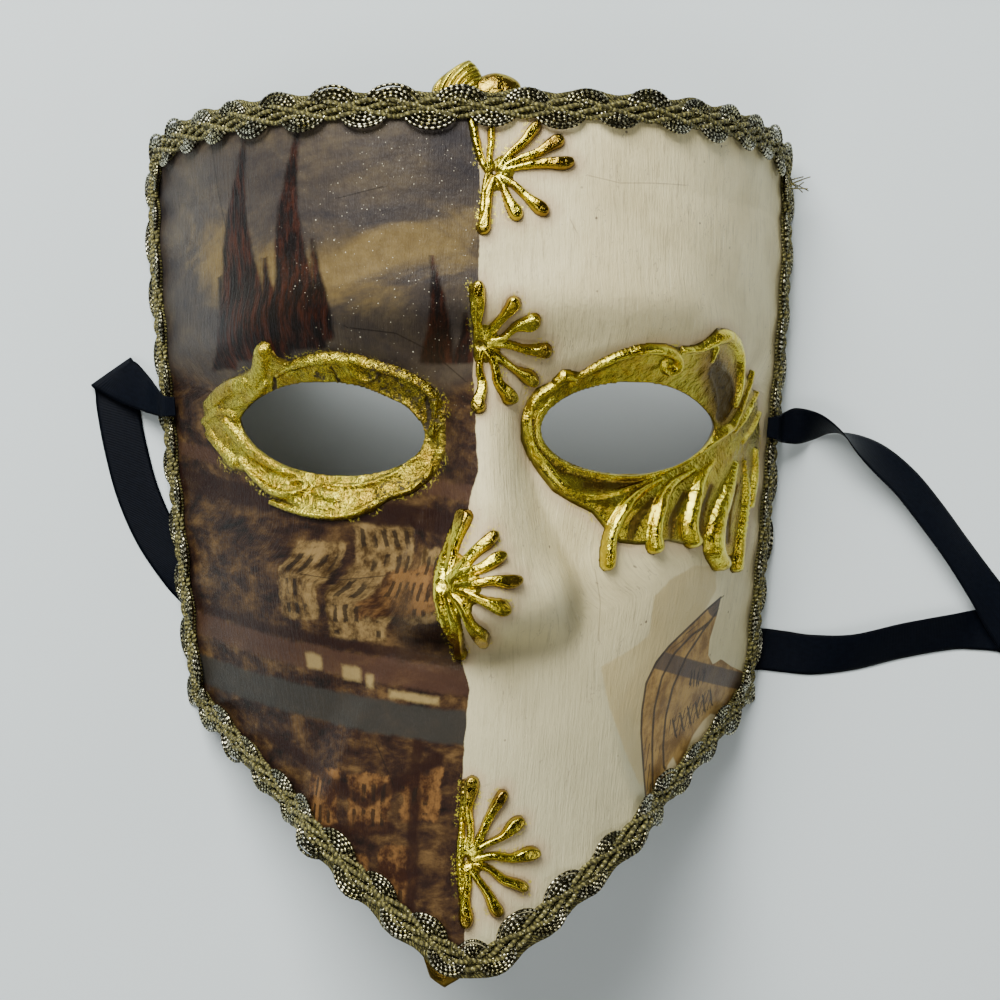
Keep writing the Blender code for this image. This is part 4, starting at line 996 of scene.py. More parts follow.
# The right band: edge roll, volute, bead, upright strip, lid edge, panel, and the fan of rays
RIGHT_STROKES = (
    ((24.0, 31.4, 0.5, 1.4), (29.8, 34.8, 0.7, 1.9), (35.5, 37.2, 0.8, 2.2), (41.5, 38.5, 1.0, 2.5),
     (46.2, 38.3, 1.2, 2.8), (49.6, 36.8, 1.3, 2.9), (50.1, 34.6, 1.3, 2.8), (48.0, 33.4, 1.1, 2.6),
     (46.0, 34.4, 0.8, 2.3), (46.6, 35.8, 0.6, 2.0)),
    ((51.5, 38.4, 0.8, 1.6), (56.0, 38.9, 0.9, 1.8), (59.5, 40.8, 1.2, 2.2), (62.4, 42.2, 1.7, 2.9),
     (65.0, 42.2, 1.9, 3.0), (68.2, 39.6, 1.4, 2.4), (69.6, 35.2, 1.1, 2.2), (69.6, 29.4, 1.1, 2.1),
     (68.4, 25.0, 1.0, 1.8)),
    ((60.8, 39.6, 0.9, 1.8), (60.0, 36.0, 0.6, 1.3)),
    ((18.2, 30.0, 1.0, 1.8), (20.4, 31.6, 1.2, 2.2), (22.8, 30.8, 0.9, 1.7), (22.0, 29.2, 0.7, 1.4)),
    ((17.5, 29.0, 0.8, 1.6), (13.4, 26.2, 1.0, 2.0), (10.9, 21.8, 1.1, 2.1), (10.7, 17.0, 1.1, 2.1),
     (12.7, 12.4, 1.1, 2.0), (16.2, 8.2, 1.1, 1.8), (18.6, 5.0, 1.0, 1.7), (22.0, 2.0, 0.8, 1.7),
     (27.5, 0.8, 0.7, 1.6), (33.5, 1.4, 0.7, 1.5), (39.0, 3.0, 0.7, 1.5), (44.5, 5.0, 0.6, 1.4)),
    ((17.0, 25.8, 0.6, 1.4), (14.0, 21.8, 0.6, 1.5), (13.4, 17.6, 0.6, 1.5), (15.0, 13.0, 0.6, 1.5),
     (20.5, 8.8, 0.6, 1.5), (26.0, 6.7, 0.7, 1.7), (33.0, 5.4, 0.8, 1.9), (40.0, 5.2, 0.8, 2.0),
     (47.0, 6.7, 0.8, 2.0), (54.0, 9.7, 0.8, 2.0), (60.0, 13.6, 0.9, 2.1), (65.0, 17.4, 1.4, 2.5),
     (68.2, 19.8, 1.2, 2.1), (70.8, 24.5, 0.9, 1.8), (73.4, 30.5, 0.8, 1.6), (74.6, 34.0, 0.6, 1.4)),
    ((69.0, 18.0, 0.8, 1.5), (73.0, 22.5, 0.9, 1.6), (76.6, 28.5, 0.7, 1.5)),
    ((72.0, 15.0, 0.9, 1.4), (75.6, 19.0, 0.9, 1.5), (78.0, 23.0, 0.7, 1.4)),
    ((46.4, 4.6, 0.7, 1.6), (40.0, 1.2, 1.2, 2.4), (35.0, -3.6, 1.7, 3.0), (32.3, -9.4, 1.9, 3.2),
     (31.7, -14.6, 2.1, 3.4), (31.6, -16.2, 2.0, 3.2)),
    ((56.4, 7.4, 0.7, 1.6), (49.2, 3.2, 1.4, 2.7), (45.2, -2.8, 1.8, 3.2), (43.9, -8.6, 1.9, 3.4),
     (44.2, -12.2, 2.1, 3.5)),
    ((62.3, 9.6, 0.7, 1.6), (58.0, 5.2, 1.4, 2.7), (55.2, -1.8, 1.8, 3.3), (54.1, -7.6, 2.0, 3.5),
     (55.2, -11.2, 2.1, 3.5)),
    ((69.3, 9.0, 0.9, 1.8), (65.6, 0.6, 1.9, 3.3), (62.6, -6.6, 2.4, 3.8), (62.0, -13.2, 2.6, 4.0),
     (64.4, -17.6, 2.4, 3.8)),
    ((72.6, 9.6, 0.7, 1.5), (73.4, -0.2, 1.2, 2.3), (71.6, -12.0, 1.4, 2.6), (70.8, -19.4, 1.6, 2.7)),
    ((76.8, 12.6, 0.9, 1.8), (76.6, 4.8, 1.1, 2.1), (75.4, -2.4, 1.1, 2.0)),
)
RIGHT_GROOVES = (
    ((53.0, 1.0, 0.7, 0.8), (49.4, -5.0, 1.0, 0.8), (48.8, -9.4, 0.8, 0.6)),
    ((61.2, 3.0, 0.7, 0.9), (58.6, -4.0, 0.8, 0.9), (58.2, -9.6, 0.7, 0.8)),
    ((43.6, -0.6, 0.7, 0.7), (39.0, -5.6, 1.2, 0.7), (37.6, -9.6, 1.0, 0.5)),
    ((70.0, 3.0, 0.6, 1.0), (67.6, -5.0, 0.8, 1.0), (67.4, -12.0, 0.7, 0.9)),
    ((61.5, 33.0, 1.6, 1.2), (64.5, 30.0, 2.6, 1.4), (65.5, 25.0, 2.2, 1.3), (64.2, 21.6, 1.4, 1.0)),
    ((26.0, 3.6, 1.0, 0.6), (33.0, 3.4, 1.1, 0.7), (40.0, 3.9, 0.7, 0.5)),
    ((12.0, 20.0, 0.3, 0.7), (14.0, 13.0, 0.3, 0.7), (19.0, 7.6, 0.4, 0.8), (26.0, 5.2, 0.4, 0.7)),
)


def make_eye_gilding(settings):
    """Gilded bands round both eyes: a thin plate to the outline, with rolls, scrolls and rays melted on."""
    spacing = settings.relief_spacing / MM

    def melted(x, y, plate, strokes, grooves, cut):
        rise = np.logaddexp(plate / 0.1, stroke_height(x, y, strokes) / 0.1) * 0.1
        return np.maximum(rise - cut * np.maximum(stroke_height(x, y, grooves), 0), np.minimum(rise, 0.22))

    def left(x, y):
        edge = outline_field(x, y, LEFT_OUTLINE) + 0.35 * ripple(x, y, 2.5, 31)
        plate = np.minimum(0.75 + 0.35 * ripple(x, y, 4, 5), edge * 0.8)
        return melted(x, y, plate, LEFT_STROKES, LEFT_GROOVES, 0.8)

    def left_wear_and_crease_shade(x, y):
        top = 0.6 * step((x + 36) / 8) * step((y - 14) / 6)
        patch = 0.75 * np.exp(-((x + 41) / 3.2) ** 2 - ((y - 32.2) / 1.6) ** 2)
        low = 0.56 * step((x + 33) / 8) * step((9 - y) / 5)
        # Painted shade: the creases darkened as bare paste.
        crease_shade = step(stroke_height(x, y, LEFT_GROOVES) / 0.5 + 0.5)
        return np.clip(np.maximum.reduce([top, patch, low, crease_shade, np.full(x.shape, 0.32)]), 0, 1.2)

    def right(x, y):
        plate = np.minimum(0.7 + 0.1 * ripple(x, y, 9, 8), outline_field(x, y, RIGHT_OUTLINE) * 0.7)
        return melted(x, y, plate, RIGHT_STROKES, RIGHT_GROOVES, 0.4)

    # Where the deep recess lies over the eye's outer corner; the fields below paint it dark as shade.
    def recess(x, y):
        return np.exp(-((x - 63.2 + 0.25 * (y - 30)) / 4.6) ** 2 - ((y - 30.5) / 9.0) ** 2)

    def right_wear_and_recess_shade(x, y):
        # Painted shade in the recess, and worn leaf at the temple.
        temple = 0.4 * step((x - 66) / 6) * step((y - 4) / 10)
        return np.maximum.reduce([0.62 * recess(x, y), temple, np.full(x.shape, 0.1)])

    def right_amber_and_shade(x, y):
        # Amber varnish on the flats between the rays, browner towards the temple, and painted shade in the
        # grooves and the recess.
        flat = step((1.5 - stroke_height(x, y, RIGHT_STROKES)) / 1.2)
        grooves = step((stroke_height(x, y, RIGHT_GROOVES) + 1.3) / 2.2)
        shade = 0.35 * flat + 0.55 * grooves + 0.2 * step((x - 58) / 12) + 1.3 * recess(x, y) * flat
        return np.clip(shade, 0, 1.4)

    add_relief("gilt_eye_surround_left_paste", (-76, -7.5, -8, 42), spacing, left,
               leaf_look("flaked_gold", settings, 0.85, 2.0), "gilt_eye_surround_left", eye=-1, seed=21,
               wear_and_shade=left_wear_and_crease_shade, varnish_and_shade=lambda x, y: 0.3 + 0.25 * step((x + 34) / 8))
    add_relief("gilt_eye_surround_right_paste", (7.5, 81, -24, 47), spacing, right,
               leaf_look("amber_gold", settings, 0.9, 0.9), "gilt_eye_surround_right", eye=1, seed=22,
               wear_and_shade=right_wear_and_recess_shade, varnish_and_shade=right_amber_and_shade)


def make_crest(settings):
    """Two lobes behind the top edge: the left a ribbed fin that leans to its peak, the right a smooth round
    bead."""
    turn = np.linspace(0, 2 * np.pi, 128, endpoint=False)[None, :]
    rise = np.linspace(-np.pi / 2, np.pi / 2, 65)[:, None]
    points, faces, relief, varnish_and_shade = [], [], [], []
    lobes = (((-6.2, 101.8, 67.0), (6.6, 9.2, 3.4), -8, True),
             ((3.4, 100.4, 66.8), (6.0, 6.9, 3.2), 0, False))
    for k, (centre, size, tilt, ribbed) in enumerate(lobes):
        x = size[0] * np.cos(rise) * np.cos(turn)
        y = size[1] * np.cos(rise) * np.sin(turn)
        z = size[2] * np.sin(rise) + 0 * turn
        ribs = np.full(z.shape, 1.0)
        if not ribbed:
            x = x * (1 + 0.28 * np.sin(2 * turn) ** 2)
        if ribbed:
            y = y * np.where(y > 0, 0.5 + 0.5 * np.clip((x / size[0] + 1) / 1.25, 0, 1) ** 1.3, 1)
            ribs = 0.5 + 0.5 * np.cos(np.hypot(x - 9, y + 2) * 2 * np.pi / 1.5)
            z = z * (0.82 + 0.18 * ribs)
        c, s = math.cos(math.radians(tilt)), math.sin(math.radians(tilt))
        group = np.stack([centre[0] + c * x - s * y, centre[1] + s * x + c * y, centre[2] + z], axis=-1) * MM
        points.append(group.reshape(-1, 3))
        faces.append(grid_faces(65, 128, wrap_columns=True) + k * z.size)
        relief.append((0.15 + 0.95 * ribs).ravel())
        varnish_and_shade.append(np.full(z.size, 0.25 if ribbed else 0.8))
    points, relief = np.concatenate(points), np.concatenate(relief)
    fields = {"relief": relief, "wear_and_shade": np.full(len(points), 0.15), "varnish_and_shade": np.concatenate(varnish_and_shade)}
    add_piece("gilt_crest_lobes", points, np.concatenate(faces), [leaf_look("brown_gold", settings, 0.8)],
              ["gilt_crest"], fields=fields)


# Braid


def rim_loop(count):
    """Points in metres evenly round the edge from the chin by the right side, and the way inwards on the
    face."""
    run = np.linspace(0, 1, 400, endpoint=False)
    u = np.concatenate([run, np.ones(400), 1 - 2 * run, -np.ones(400), run - 1])
    v = np.concatenate([np.zeros(400), run, np.ones(400), 1 - run, np.zeros(400)])
    x, y = plan_point(u, v)
    edge = np.stack([x, y, face_height(x, y)], axis=1)
    edge = np.concatenate([edge, edge[:1]])
    length = np.concatenate([[0], np.cumsum(np.linalg.norm(np.diff(edge, axis=0), axis=1))])
    at = np.linspace(0, length[-1], count, endpoint=False)
    edge = np.stack([np.interp(at, length, edge[:, k]) for k in range(3)], axis=1)
    ahead = np.roll(edge, -1, axis=0) - np.roll(edge, 1, axis=0)
    inward = np.cross(face_normal(edge[:, 0], edge[:, 1]), ahead)
    inward /= np.linalg.norm(inward, axis=1, keepdims=True)
    ease = 8 * MM / (length[-1] / count)
    reach = int(3 * ease) + 1
    weights = np.exp(-((np.arange(-reach, reach + 1) / ease) ** 2))
    eased = sum(w * np.roll(inward, k - reach, axis=0) for k, w in enumerate(weights))
    return edge, eased / np.linalg.norm(eased, axis=1, keepdims=True), length[-1]


def on_rim(rim, along, across, lift, least=0.6):
    """Points on the band along the edge: along runs 0 to 1 round it, across and lift are in mm."""
    edge, inward, _ = rim
    at = (along % 1.0) * len(edge)
    low = np.floor(at).astype(int) % len(edge)
    part = (at - np.floor(at))[..., None]
    here = edge[low] * (1 - part) + edge[(low + 1) % len(edge)] * part
    way = inward[low] * (1 - part) + inward[(low + 1) % len(edge)] * part
    plan = here[..., :2] + way[..., :2] * across[..., None] * MM
    points = on_face(plan[..., 0] / MM, plan[..., 1] / MM, lift)
    points[..., 2] = np.maximum(points[..., 2], least * MM)
    return points, face_normal(plan[..., 0], plan[..., 1])


def make_braid(settings):
    """Metal-thread braid: facing rows of scallops, each of nested beaded threads, over a twisted olive
    core."""
    rim = rim_loop(1600)
    length = rim[2] / MM
    count = settings.scallops
    pitch = length / count
    silver, olive = thread_look(settings), olive_look()
    rng = np.random.default_rng(7)
    bend = np.linspace(-0.1, 1.1, 43) * np.pi
    radii = np.array((1.3, 2.35, 3.4, 4.35, 5.25))
    for word, inner in (("inner", True), ("outer", False)):
        size = rng.uniform(0.86, 1.1, (count, 1, 1)) * (1 + 0.05 * rng.uniform(-1, 1, (count, 5, 1)))
        middle = (np.arange(count) + (0.0 if inner else 0.5) + rng.uniform(-0.05, 0.05, count)) * pitch
        out = radii[None, :, None] * size * np.sin(bend)[None, None, :]
        wide = radii[None, :, None] * size * np.cos(bend)[None, None, :] * 1.2
        along = (middle[:, None, None] + wide) / length
        across = (4.6 + out * 0.92 if inner else 3.9 - out * 0.95) + 0 * along
        hump = np.clip(np.sin(bend), 0, 1) ** 0.5
        lift = 0.75 + (1.15 + rng.uniform(-0.2, 0.15, (count, 5, 1))) * hump[None, None, :] + 0 * along
        points, normal = on_rim(rim, along, across, lift)
        shape = (-1, len(bend))
        points, normal = points.reshape(*shape, 3), normal.reshape(*shape, 3)
        travel = (radii[None, :, None] * np.pi * 1.2 * np.linspace(0, 1,
                                                                   len(bend)) + 0 * along).reshape(shape)
        bead = travel / settings.bead_pitch * MM + rng.uniform(0, 1, (len(points), 1))
        beads = 0.42 * (1 + 0.2 * np.cos(2 * np.pi * bead))
        verts, faces, caps = tubes(points, beads * MM, normal, 5)
        uv = np.repeat(np.stack([bead, 0 * bead], axis=-1).reshape(-1, 2), 5, axis=0)
        add_piece(f"edge_braid_{word}_scallops", verts, faces, [silver], ["edge_braid"],
                  uv=uv,
                  caps=caps.tolist())

    stations = count * 22
    at = np.arange(stations + 1) / stations
    strands, normals, uvs = [], [], []
    for k, base in enumerate((2.6, 3.7, 4.8, 5.9)):
        phase = 2 * np.pi * (at * count + k / 4)
        sway = 0.55 * np.sin(phase)
        points, normal = on_rim(rim, at, base + sway, 1.35 + 0.5 * np.cos(2 * phase), least=1.2)
        strands.append(points)
        normals.append(normal)
        uvs.append(at * length / 1.2)
    verts, faces, caps = tubes(np.array(strands), np.full((4, stations + 1), 0.62 * MM), np.array(normals), 6)
    uv = np.stack([np.repeat(np.array(uvs).ravel(), 6), np.tile(np.arange(6) / 6, 4 * (stations + 1))],
                  axis=1)
    add_piece("edge_braid_core", verts, faces, [olive], ["edge_braid"], uv=uv,
              caps=caps.tolist())

    stations = count * 16
    at = np.arange(stations) / stations
    reach = np.linspace(-1.1, 7.2, 14)
    wave = np.cos(2 * np.pi * at * count)[:, None]
    swell = (0.7 * wave - 0.3) * (reach > 5.5) + (0.7 * wave + 0.5) * (reach < 0.8)
    tufts = 0.35 * ripple(at[:, None] * length, reach, 1.6, 13)
    top = on_rim(rim, at[:, None] + 0 * reach, reach + swell, 0.8 + tufts, least=0.5)[0]
    low = on_rim(rim, at[:, None] + 0 * reach, reach + swell, 0.15 + 0 * swell, least=0.3)[0]
    faces = grid_faces(stations, len(reach), wrap_rows=True)
    points, quads, used = walled(top.reshape(-1, 3), low.reshape(-1, 3), faces)
    uv = np.stack(np.broadcast_arrays((at * length)[:, None] / 0.9, reach / 0.9), axis=-1).reshape(-1, 2)
    add_piece("edge_braid_ground", points, quads, [olive], ["edge_braid"],
              uv=np.tile(uv[used], (2, 1)))


def make_oddments(settings):
    """A torn end of gilded paper under the chin's braid, and the braid's loose ends at the temple: bent
    quadratics."""
    share, across = np.meshgrid(np.linspace(0, 1, 24), np.linspace(-1, 1, 28))
    x = -9.5 + 7.0 * across * (1 - 0.35 * share)
    y = -111.0 - (10.6 - 3.0 * np.abs(across + 0.2)) * share + 0.3 * ripple(x, share * 9, 4, 3) * share
    z = face_height(x * MM, y * MM) / MM - 2.9 - 1.6 * share**2 + 0.3 * ripple(x, y, 5, 5)
    top = np.stack([x, y, z], axis=-1).reshape(-1, 3) * MM
    points, quads, _ = walled(top, top - (0, 0, 0.35 * MM), grid_faces(28, 24)[:, ::-1])
    fields = {"relief": np.full(len(points), 0.5), "wear_and_shade": np.full(len(points), 0.3),
              "varnish_and_shade": np.full(len(points), 1.1)}
    add_piece("torn_paper_end", points, quads, [leaf_look("dull_gold", settings, 0.7)], (),
              fields=fields)

    rng = np.random.default_rng(5)
    ends = []
    for _ in range(7):
        start = np.array((87.0, 86.0, 17.0)) + rng.uniform(-1, 1, 3) * (0.6, 1.6, 0.8)
        way = np.array((rng.uniform(3.5, 7.0), rng.uniform(-1.5, 2.5), rng.uniform(-2.0, 1.0)))
        curl = rng.uniform(-1.2, 1.2, 3)
        ends.append([start + way * t + curl * t * t for t in np.linspace(0, 1, 12)])
    ends = np.array(ends)
    upright = np.tile((0.0, 0.0, 1.0), (*ends.shape[:2], 1))
    verts, faces, caps = tubes(ends * MM, np.full(ends.shape[:2], 0.16 * MM), upright, 6)
    add_piece("braid_loose_ends", verts, faces, [olive_look()], (),
              uv=verts[:, :2] / (0.9 * MM),
              caps=caps.tolist())


# Ribbons

RIBBON_AT_SLIT = {
    -1: ((-81.6, 25.2, 1.2, 94, 0, 2.6), (-82.6, 25.7, 3.6, 94, 0, 3.0), (-84.6, 26.8, 3.7, 92, 0, 3.8)),
    1: ((81.0, 19.2, 1.2, 85, 0, 2.8), (82.0, 19.3, 3.6, 85, 0, 3.4), (84.0, 19.4, 3.7, 86, 0, 4.2)),
}
RIBBON_ROUTE = {
    -1: ((-91.6, 28.9, 5.0, 82, -3, 5.0),
         (-96.6, 32.0, 3.0, 66, 0, 6.0), (-99.6, 33.6, 2.3, 50, 0, 6.2),
         (-101.3, 34.6, 2.1, 35, 0, 6.7), (-101.9, 35.4, 1.25, 35, 0, 6.7), (-101.2, 34.4, 0.42, 35, 0, 6.7),
         (-100.6, 31.0, 0.4, 22, 0, 6.2), (-100.2, 26.0, 0.4, 10, 0, 6.0), (-98.3, 15.0, 0.4, 12, 0, 6.0),
         (-95.0, 2.0, 0.4, 17, 0, 6.0), (-90.2, -9.5, 0.4, 26, 0, 6.0), (-84.5, -18.5, 0.4, 33, 0, 6.0),
         (-79.2, -25.2, 0.5, 38, 6, 6.0), (-73.4, -30.6, 3.4, 42, 30, 6.0), (-68.2, -34.6, 5.8, 42, 66, 6.0),
         (-64.4, -38.6, 6.35, 30, 90, 6.0), (-61.6, -42.8, 6.35, 30, 90, 6.0)),
    1: ((92.0, 19.6, 6.2, 93, 12, 5.2), (97.8, 19.3, 5.7, 90, 55, 6.0), (103.2, 17.9, 6.35, 75, 88, 6.0),
        (109.3, 14.6, 5.7, 60, 118, 6.0), (116.0, 10.2, 4.5, 50, 138, 6.0), (123.8, 3.3, 3.9, 42, 145, 6.0),
        (131.1, -5.6, 3.7, 38, 147, 6.0), (138.6, -15.8, 3.7, 35, 147, 6.0),
        (146.4, -26.8, 3.0, 35, 155, 6.0),
        (151.6, -34.2, 2.2, 38, 170, 6.1), (154.4, -38.0, 1.9, 52, 178, 6.4),
        (155.8, -39.9, 1.8, 64, 180, 6.86),
        (156.5, -40.3, 1.1, 64, 180, 6.86), (155.6, -39.9, 0.42, 64, 180, 6.86),
        (151.5, -39.4, 0.4, 84, 180, 6.2),
        (145.5, -39.2, 1.4, 93, 190, 6.0), (137.8, -39.6, 3.1, 95, 207, 6.0),
        (123.3, -42.0, 3.3, 99, 209, 6.0),
        (109.1, -45.2, 3.1, 100, 207, 6.0), (97.5, -46.0, 1.6, 95, 192, 6.0),
        (89.5, -45.2, 0.45, 88, 181, 6.0),
        (81.5, -44.4, 0.45, 86, 180, 6.0), (73.0, -45.8, 1.0, 80, 186, 6.0), (64.5, -49.3, 4.5, 72, 224, 6.0),
        (55.5, -53.8, 6.2, 68, 257, 6.0), (47.5, -56.6, 6.35, 68, 270, 6.0),
        (42.0, -57.6, 6.35, 68, 270, 6.0)),
}
COIL_CENTRE = {-1: (-37.0, -30.0), 1: (37.0, -30.0)}
COIL_INNER = {-1: 11.5, 1: 18.5}
COIL_PITCH = 6.0


def ribbon_lines(side):
    """Middle line and half-width vectors along a ribbon, in metres: its route, then a spiral on its edge."""
    rows = [(*(on_face(x, y, lift) / MM), turn, tilt, half) for x, y, lift, turn, tilt,
            half in RIBBON_AT_SLIT[side]]
    rows = np.array(rows + list(RIBBON_ROUTE[side]), float)
    turn, tilt = np.radians(rows[:, 3]), np.radians(rows[:, 4])
    way = np.stack([np.cos(turn) * np.cos(tilt), np.sin(turn) * np.cos(tilt), np.sin(tilt)],
                   axis=1) * rows[:, 5:]
    run = through_points(np.stack([rows[:, :3], way], axis=1), 8)
    middle, half = run[:, 0], run[:, 1]

    centre = np.array(COIL_CENTRE[side])
    start = middle[-1, :2] - centre
    begin, wide = math.atan2(start[1], start[0]), math.hypot(*start)
    turns = (wide - COIL_INNER[side]) / COIL_PITCH
    swept = np.linspace(0, 2 * np.pi * turns, int(turns * 60))[1:]
    angle = begin - side * swept
    radius = wide - COIL_PITCH * swept / (2 * np.pi)
    spiral = np.stack([centre[0] + radius * np.cos(angle), centre[1] + radius * np.sin(angle),
                       np.full(len(angle), middle[-1, 2])], axis=1)
    upright = np.tile((0.0, 0.0, half[-1, 2]), (len(angle), 1))
    return np.concatenate([middle, spiral]) * MM, np.concatenate([half, upright]) * MM


def make_ribbons(settings):
    """Two satin ribbons: each from its slit over the braid, once folded back, then under the rim to its
    coil."""
    look = satin_look(settings)
    across = np.linspace(-1, 1, 11)
    for side, word in ((-1, "left"), (1, "right")):
        middle, half = ribbon_lines(side)
        ahead = np.gradient(middle, axis=0)
        face = np.cross(half, ahead)
        face /= np.linalg.norm(face, axis=1, keepdims=True)
        length = np.concatenate([[0], np.cumsum(np.linalg.norm(np.diff(middle, axis=0), axis=1))])
        thick = settings.ribbon_thickness
        curl = 0.25 * MM * np.sin(length / MM / 9)[:, None] * (1 - across**2)
        sheet = middle[:, None] + half[:, None] * across[:, None]
        top = sheet + face[:, None] * (curl + thick / 2)[..., None]
        low = sheet + face[:, None] * (curl - thick / 2)[..., None]
        for skin in (top, low):
            skin[..., 2] = np.maximum(skin[..., 2], 0.05 * MM)
        faces = grid_faces(len(middle), len(across))
        points, quads, _ = walled(top.reshape(-1, 3), low.reshape(-1, 3), faces)
        uv = np.stack(np.broadcast_arrays(length[:, None] / MM, (across + 1) / 2), axis=-1).reshape(-1, 2)
        piece = add_piece(f"satin_ribbon_{word}", points, quads, [look],
                          [f"ribbon_{word}", f"ribbon_{word}_coil"], uv=np.tile(uv, (2, 1)))


# Stage


FLOOR_HALF_WIDTH = 1.6
# Lamps: (name, place in metres, width of the square lamp, watts), each aimed at the origin
LAMPS = (("key", (-0.45, 1.0, 1.05), 0.9, 44.0), ("left", (-0.65, -0.45, 1.3), 0.5, 4.0),
         ("right", (1.1, -0.2, 0.9), 0.5, 2.5), ("front", (0.1, -0.8, 1.35), 0.6, 1.5))
# The room's light from the horizon up: (height, colour)
SKY_STOPS = ((0.0, (0.30, 0.30, 0.28)), (0.45, (0.62, 0.62, 0.58)), (0.8, (0.16, 0.16, 0.15)),
             (0.97, (0.05, 0.05, 0.05)))
# The camera as fitted to the mask's outline: place, turns in radians, focal length in frame widths
CAMERA_PLACE = (-0.02261, 0.01018 + CENTRE_Y, 0.57244)
CAMERA_TURNS = ((-0.05285, "Y"), (-0.01991, "X"), (-0.00284, "Z"))
LENS_SHARE = 2.01014


def make_stage(settings):
    """Pale floor, soft studio light from the upper left, and the camera that looks down on the mask."""
    half = FLOOR_HALF_WIDTH
    mesh = bpy.data.meshes.new("floor")
    mesh.from_pydata([(-half, -half, 0), (half, -half, 0), (half, half, 0), (-half, half, 0)], [],
                     [(0, 1, 2, 3)])
    floor = bpy.data.objects.new("floor", mesh)
    look = Look("floor_paint", roughness=0.75)
    shade = look.noise(look.place(), 300, 2)
    mesh.materials.append(look.wear(Base_Color=look.mix(shade, (0.74, 0.83, 0.87), (0.77, 0.86, 0.90))))
    bpy.context.scene.collection.objects.link(floor)

    world = bpy.data.worlds.new("studio")
    world.use_nodes = True
    tree = world.node_tree
    sky = tree.nodes["Background"]
    way = tree.nodes.new("ShaderNodeTexCoord")
    height = tree.nodes.new("ShaderNodeSeparateXYZ")
    shade = tree.nodes.new("ShaderNodeValToRGB")
    tree.links.new(way.outputs["Generated"], height.inputs["Vector"])
    tree.links.new(height.outputs["Z"], shade.inputs["Fac"])
    tree.links.new(shade.outputs["Color"], sky.inputs["Color"])
    while len(shade.color_ramp.elements) < len(SKY_STOPS):
        shade.color_ramp.elements.new(1.0)
    for element, (where, colour) in zip(shade.color_ramp.elements, SKY_STOPS):
        element.position, element.color = where, (*colour, 1.0)
    sky.inputs["Strength"].default_value = settings.ambient
    bpy.context.scene.world = world
    for name, place, size, power in LAMPS:
        lamp = bpy.data.lights.new(name, "AREA")
        lamp.size = size
        lamp.color = (1.0, 0.985, 0.94)
        lamp.energy = power
        holder = bpy.data.objects.new(name, lamp)
        turn = math.atan2(place[1], place[0])
        fall = math.atan2(math.hypot(place[0], place[1]), place[2])
        holder.matrix_world = Matrix.Translation(place) @ Matrix.Rotation(turn, 4,
                                                                          "Z") @ Matrix.Rotation(fall, 4, "Y")
        bpy.context.scene.collection.objects.link(holder)

    camera = bpy.data.cameras.new("camera")
    camera.sensor_fit = "HORIZONTAL"
    camera.sensor_width = 36.0
    camera.lens = camera.sensor_width * LENS_SHARE
    holder = bpy.data.objects.new("camera", camera)
    turned = Matrix.Identity(4)
    for angle, axis in CAMERA_TURNS:
        turned = turned @ Matrix.Rotation(angle, 4, axis)
    holder.matrix_world = Matrix.Translation(CAMERA_PLACE) @ turned
    bpy.context.scene.collection.objects.link(holder)
    bpy.context.scene.camera = holder


# Add-on


class MaskSettings(PropertyGroup):
    ivory: FloatVectorProperty(name="Ivory", description="Colour of the clean gesso", size=3, subtype="COLOR",
                               default=(0.80, 0.715, 0.41), min=0, max=1)
    gold: FloatVectorProperty(name="Gold", description="Colour of the gold leaf", size=3, subtype="COLOR",
                              default=(0.78, 0.69, 0.07), min=0, max=1)
    thread: FloatVectorProperty(name="Thread", description="Colour of the metal thread", size=3,
                                subtype="COLOR",
                                default=(0.60, 0.56, 0.30), min=0, max=1)
    ribbon: FloatVectorProperty(name="Ribbon", description="Colour of the satin", size=3, subtype="COLOR",
                                default=(0.003, 0.0045, 0.009), min=0, max=1)
    shell_columns: IntProperty(name="Shell columns", description="Points across the face", default=190,
                               min=40)
    shell_rows: IntProperty(name="Shell rows", description="Points down the face", default=216, min=40)
    relief_spacing: FloatProperty(name="Relief spacing", description="Distance between points of the gilding",
                                  default=0.36 * MM, min=0.1 * MM, unit="LENGTH")
    scallops: IntProperty(name="Scallops", description="Scallops along each side of the braid", default=52,
                          min=8)
    bead_pitch: FloatProperty(name="Bead pitch", description="Length of one turn of metal thread",
                              default=1.15 * MM, unit="LENGTH")
    ribbon_width: FloatProperty(name="Ribbon width", description="Width of the satin", default=12 * MM,
                                unit="LENGTH")
    ambient: FloatProperty(name="Ambient", description="Strength of the room's light", default=0.3, min=0)
    ribbon_thickness: FloatProperty(name="Ribbon thickness", description="Thickness of the satin",
                                    default=0.35 * MM, unit="LENGTH")


class Maker:
    """What every operator here shares: it makes its pieces from the settings."""

    bl_options = {"REGISTER", "UNDO"}

    def execute(self, context):
        self.make(context.scene.bauta_mask)
        return {"FINISHED"}


class MASK_OT_stage(Maker, Operator):
    """Make the floor, the lights and the camera"""

    bl_idname = "mask.stage"
    bl_label = "Stage"
    make = staticmethod(make_stage)


class MASK_OT_ribbons(Maker, Operator):
    """Lay the two satin ribbons and their coils"""

    bl_idname = "mask.ribbons"
    bl_label = "Ribbons"
    make = staticmethod(make_ribbons)


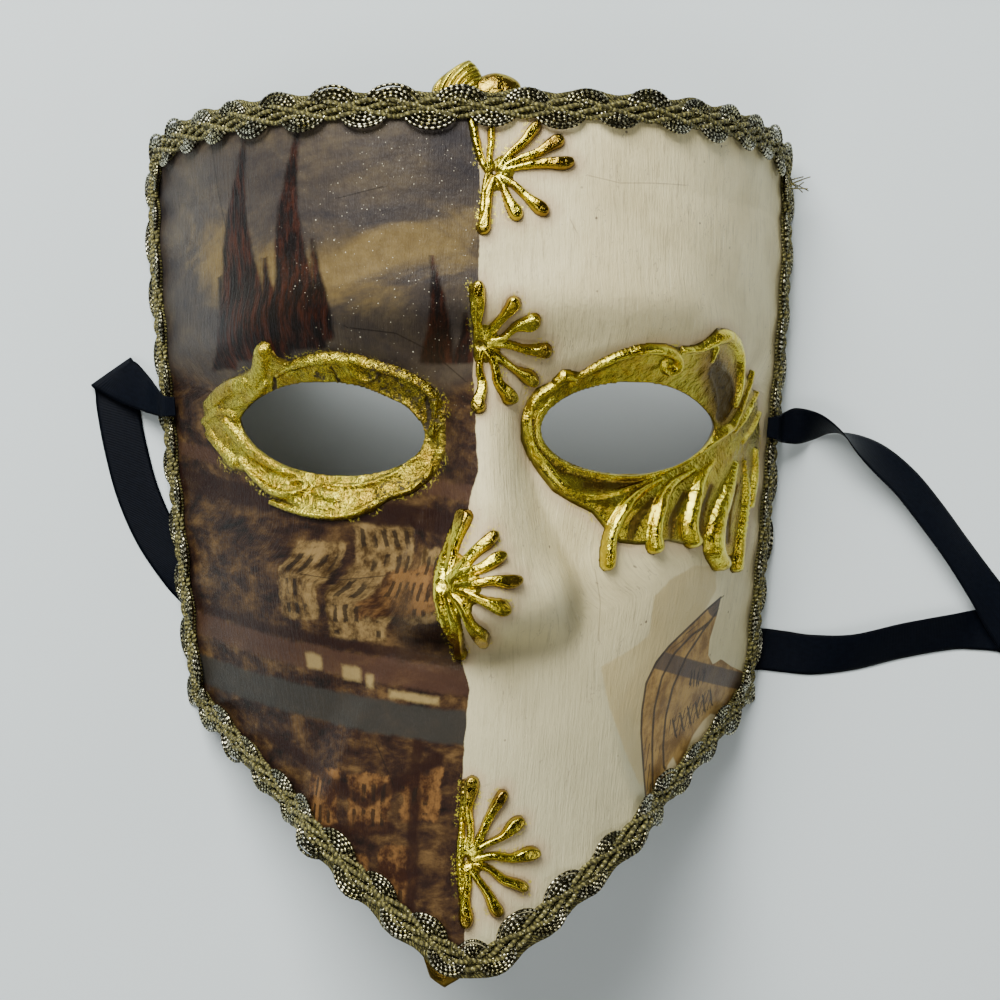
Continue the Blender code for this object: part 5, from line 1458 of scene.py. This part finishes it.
class MASK_OT_shell(Maker, Operator):
    """Make the painted papier mache face"""

    bl_idname = "mask.shell"
    bl_label = "Shell"
    make = staticmethod(make_shell)


class MASK_OT_eye_gilding(Maker, Operator):
    """Lay the gilded bands round the eyes"""

    bl_idname = "mask.eye_gilding"
    bl_label = "Eye gilding"
    make = staticmethod(make_eye_gilding)


class MASK_OT_sunbursts(Maker, Operator):
    """Lay the four gilded half sunbursts"""

    bl_idname = "mask.sunbursts"
    bl_label = "Sunbursts"
    make = staticmethod(make_sunbursts)


class MASK_OT_crest(Maker, Operator):
    """Make the two-lobed crest behind the top edge"""

    bl_idname = "mask.crest"
    bl_label = "Crest"
    make = staticmethod(make_crest)


class MASK_OT_braid(Maker, Operator):
    """Braid metal thread round the edge"""

    bl_idname = "mask.braid"
    bl_label = "Braid"
    make = staticmethod(make_braid)


class MASK_OT_oddments(Maker, Operator):
    """Make the torn paper end under the chin and the braid's loose ends"""

    bl_idname = "mask.oddments"
    bl_label = "Loose ends"
    make = staticmethod(make_oddments)


OPERATORS = (MASK_OT_stage, MASK_OT_ribbons, MASK_OT_shell, MASK_OT_eye_gilding, MASK_OT_sunbursts,
             MASK_OT_crest,
             MASK_OT_braid, MASK_OT_oddments)


class MASK_PT_panel(Panel):
    """Lists the mask's settings and pieces"""

    bl_idname = "MASK_PT_panel"
    bl_label = "Bauta mask"
    bl_space_type = "VIEW_3D"
    bl_region_type = "UI"
    bl_category = "Mask"

    def draw(self, context):
        settings = context.scene.bauta_mask
        for name in MaskSettings.__annotations__:
            self.layout.prop(settings, name)
        for operator in OPERATORS:
            self.layout.operator(operator.bl_idname)


def register():
    for made in (MaskSettings, *OPERATORS, MASK_PT_panel):
        bpy.utils.register_class(made)
    bpy.types.Scene.bauta_mask = PointerProperty(type=MaskSettings)


def unregister():
    del bpy.types.Scene.bauta_mask
    for made in (MASK_PT_panel, *reversed(OPERATORS), MaskSettings):
        bpy.utils.unregister_class(made)


def main():
    register()
    for operator in OPERATORS:
        group, name = operator.bl_idname.split(".")
        getattr(getattr(bpy.ops, group), name)()


if __name__ == "__main__":
    main()
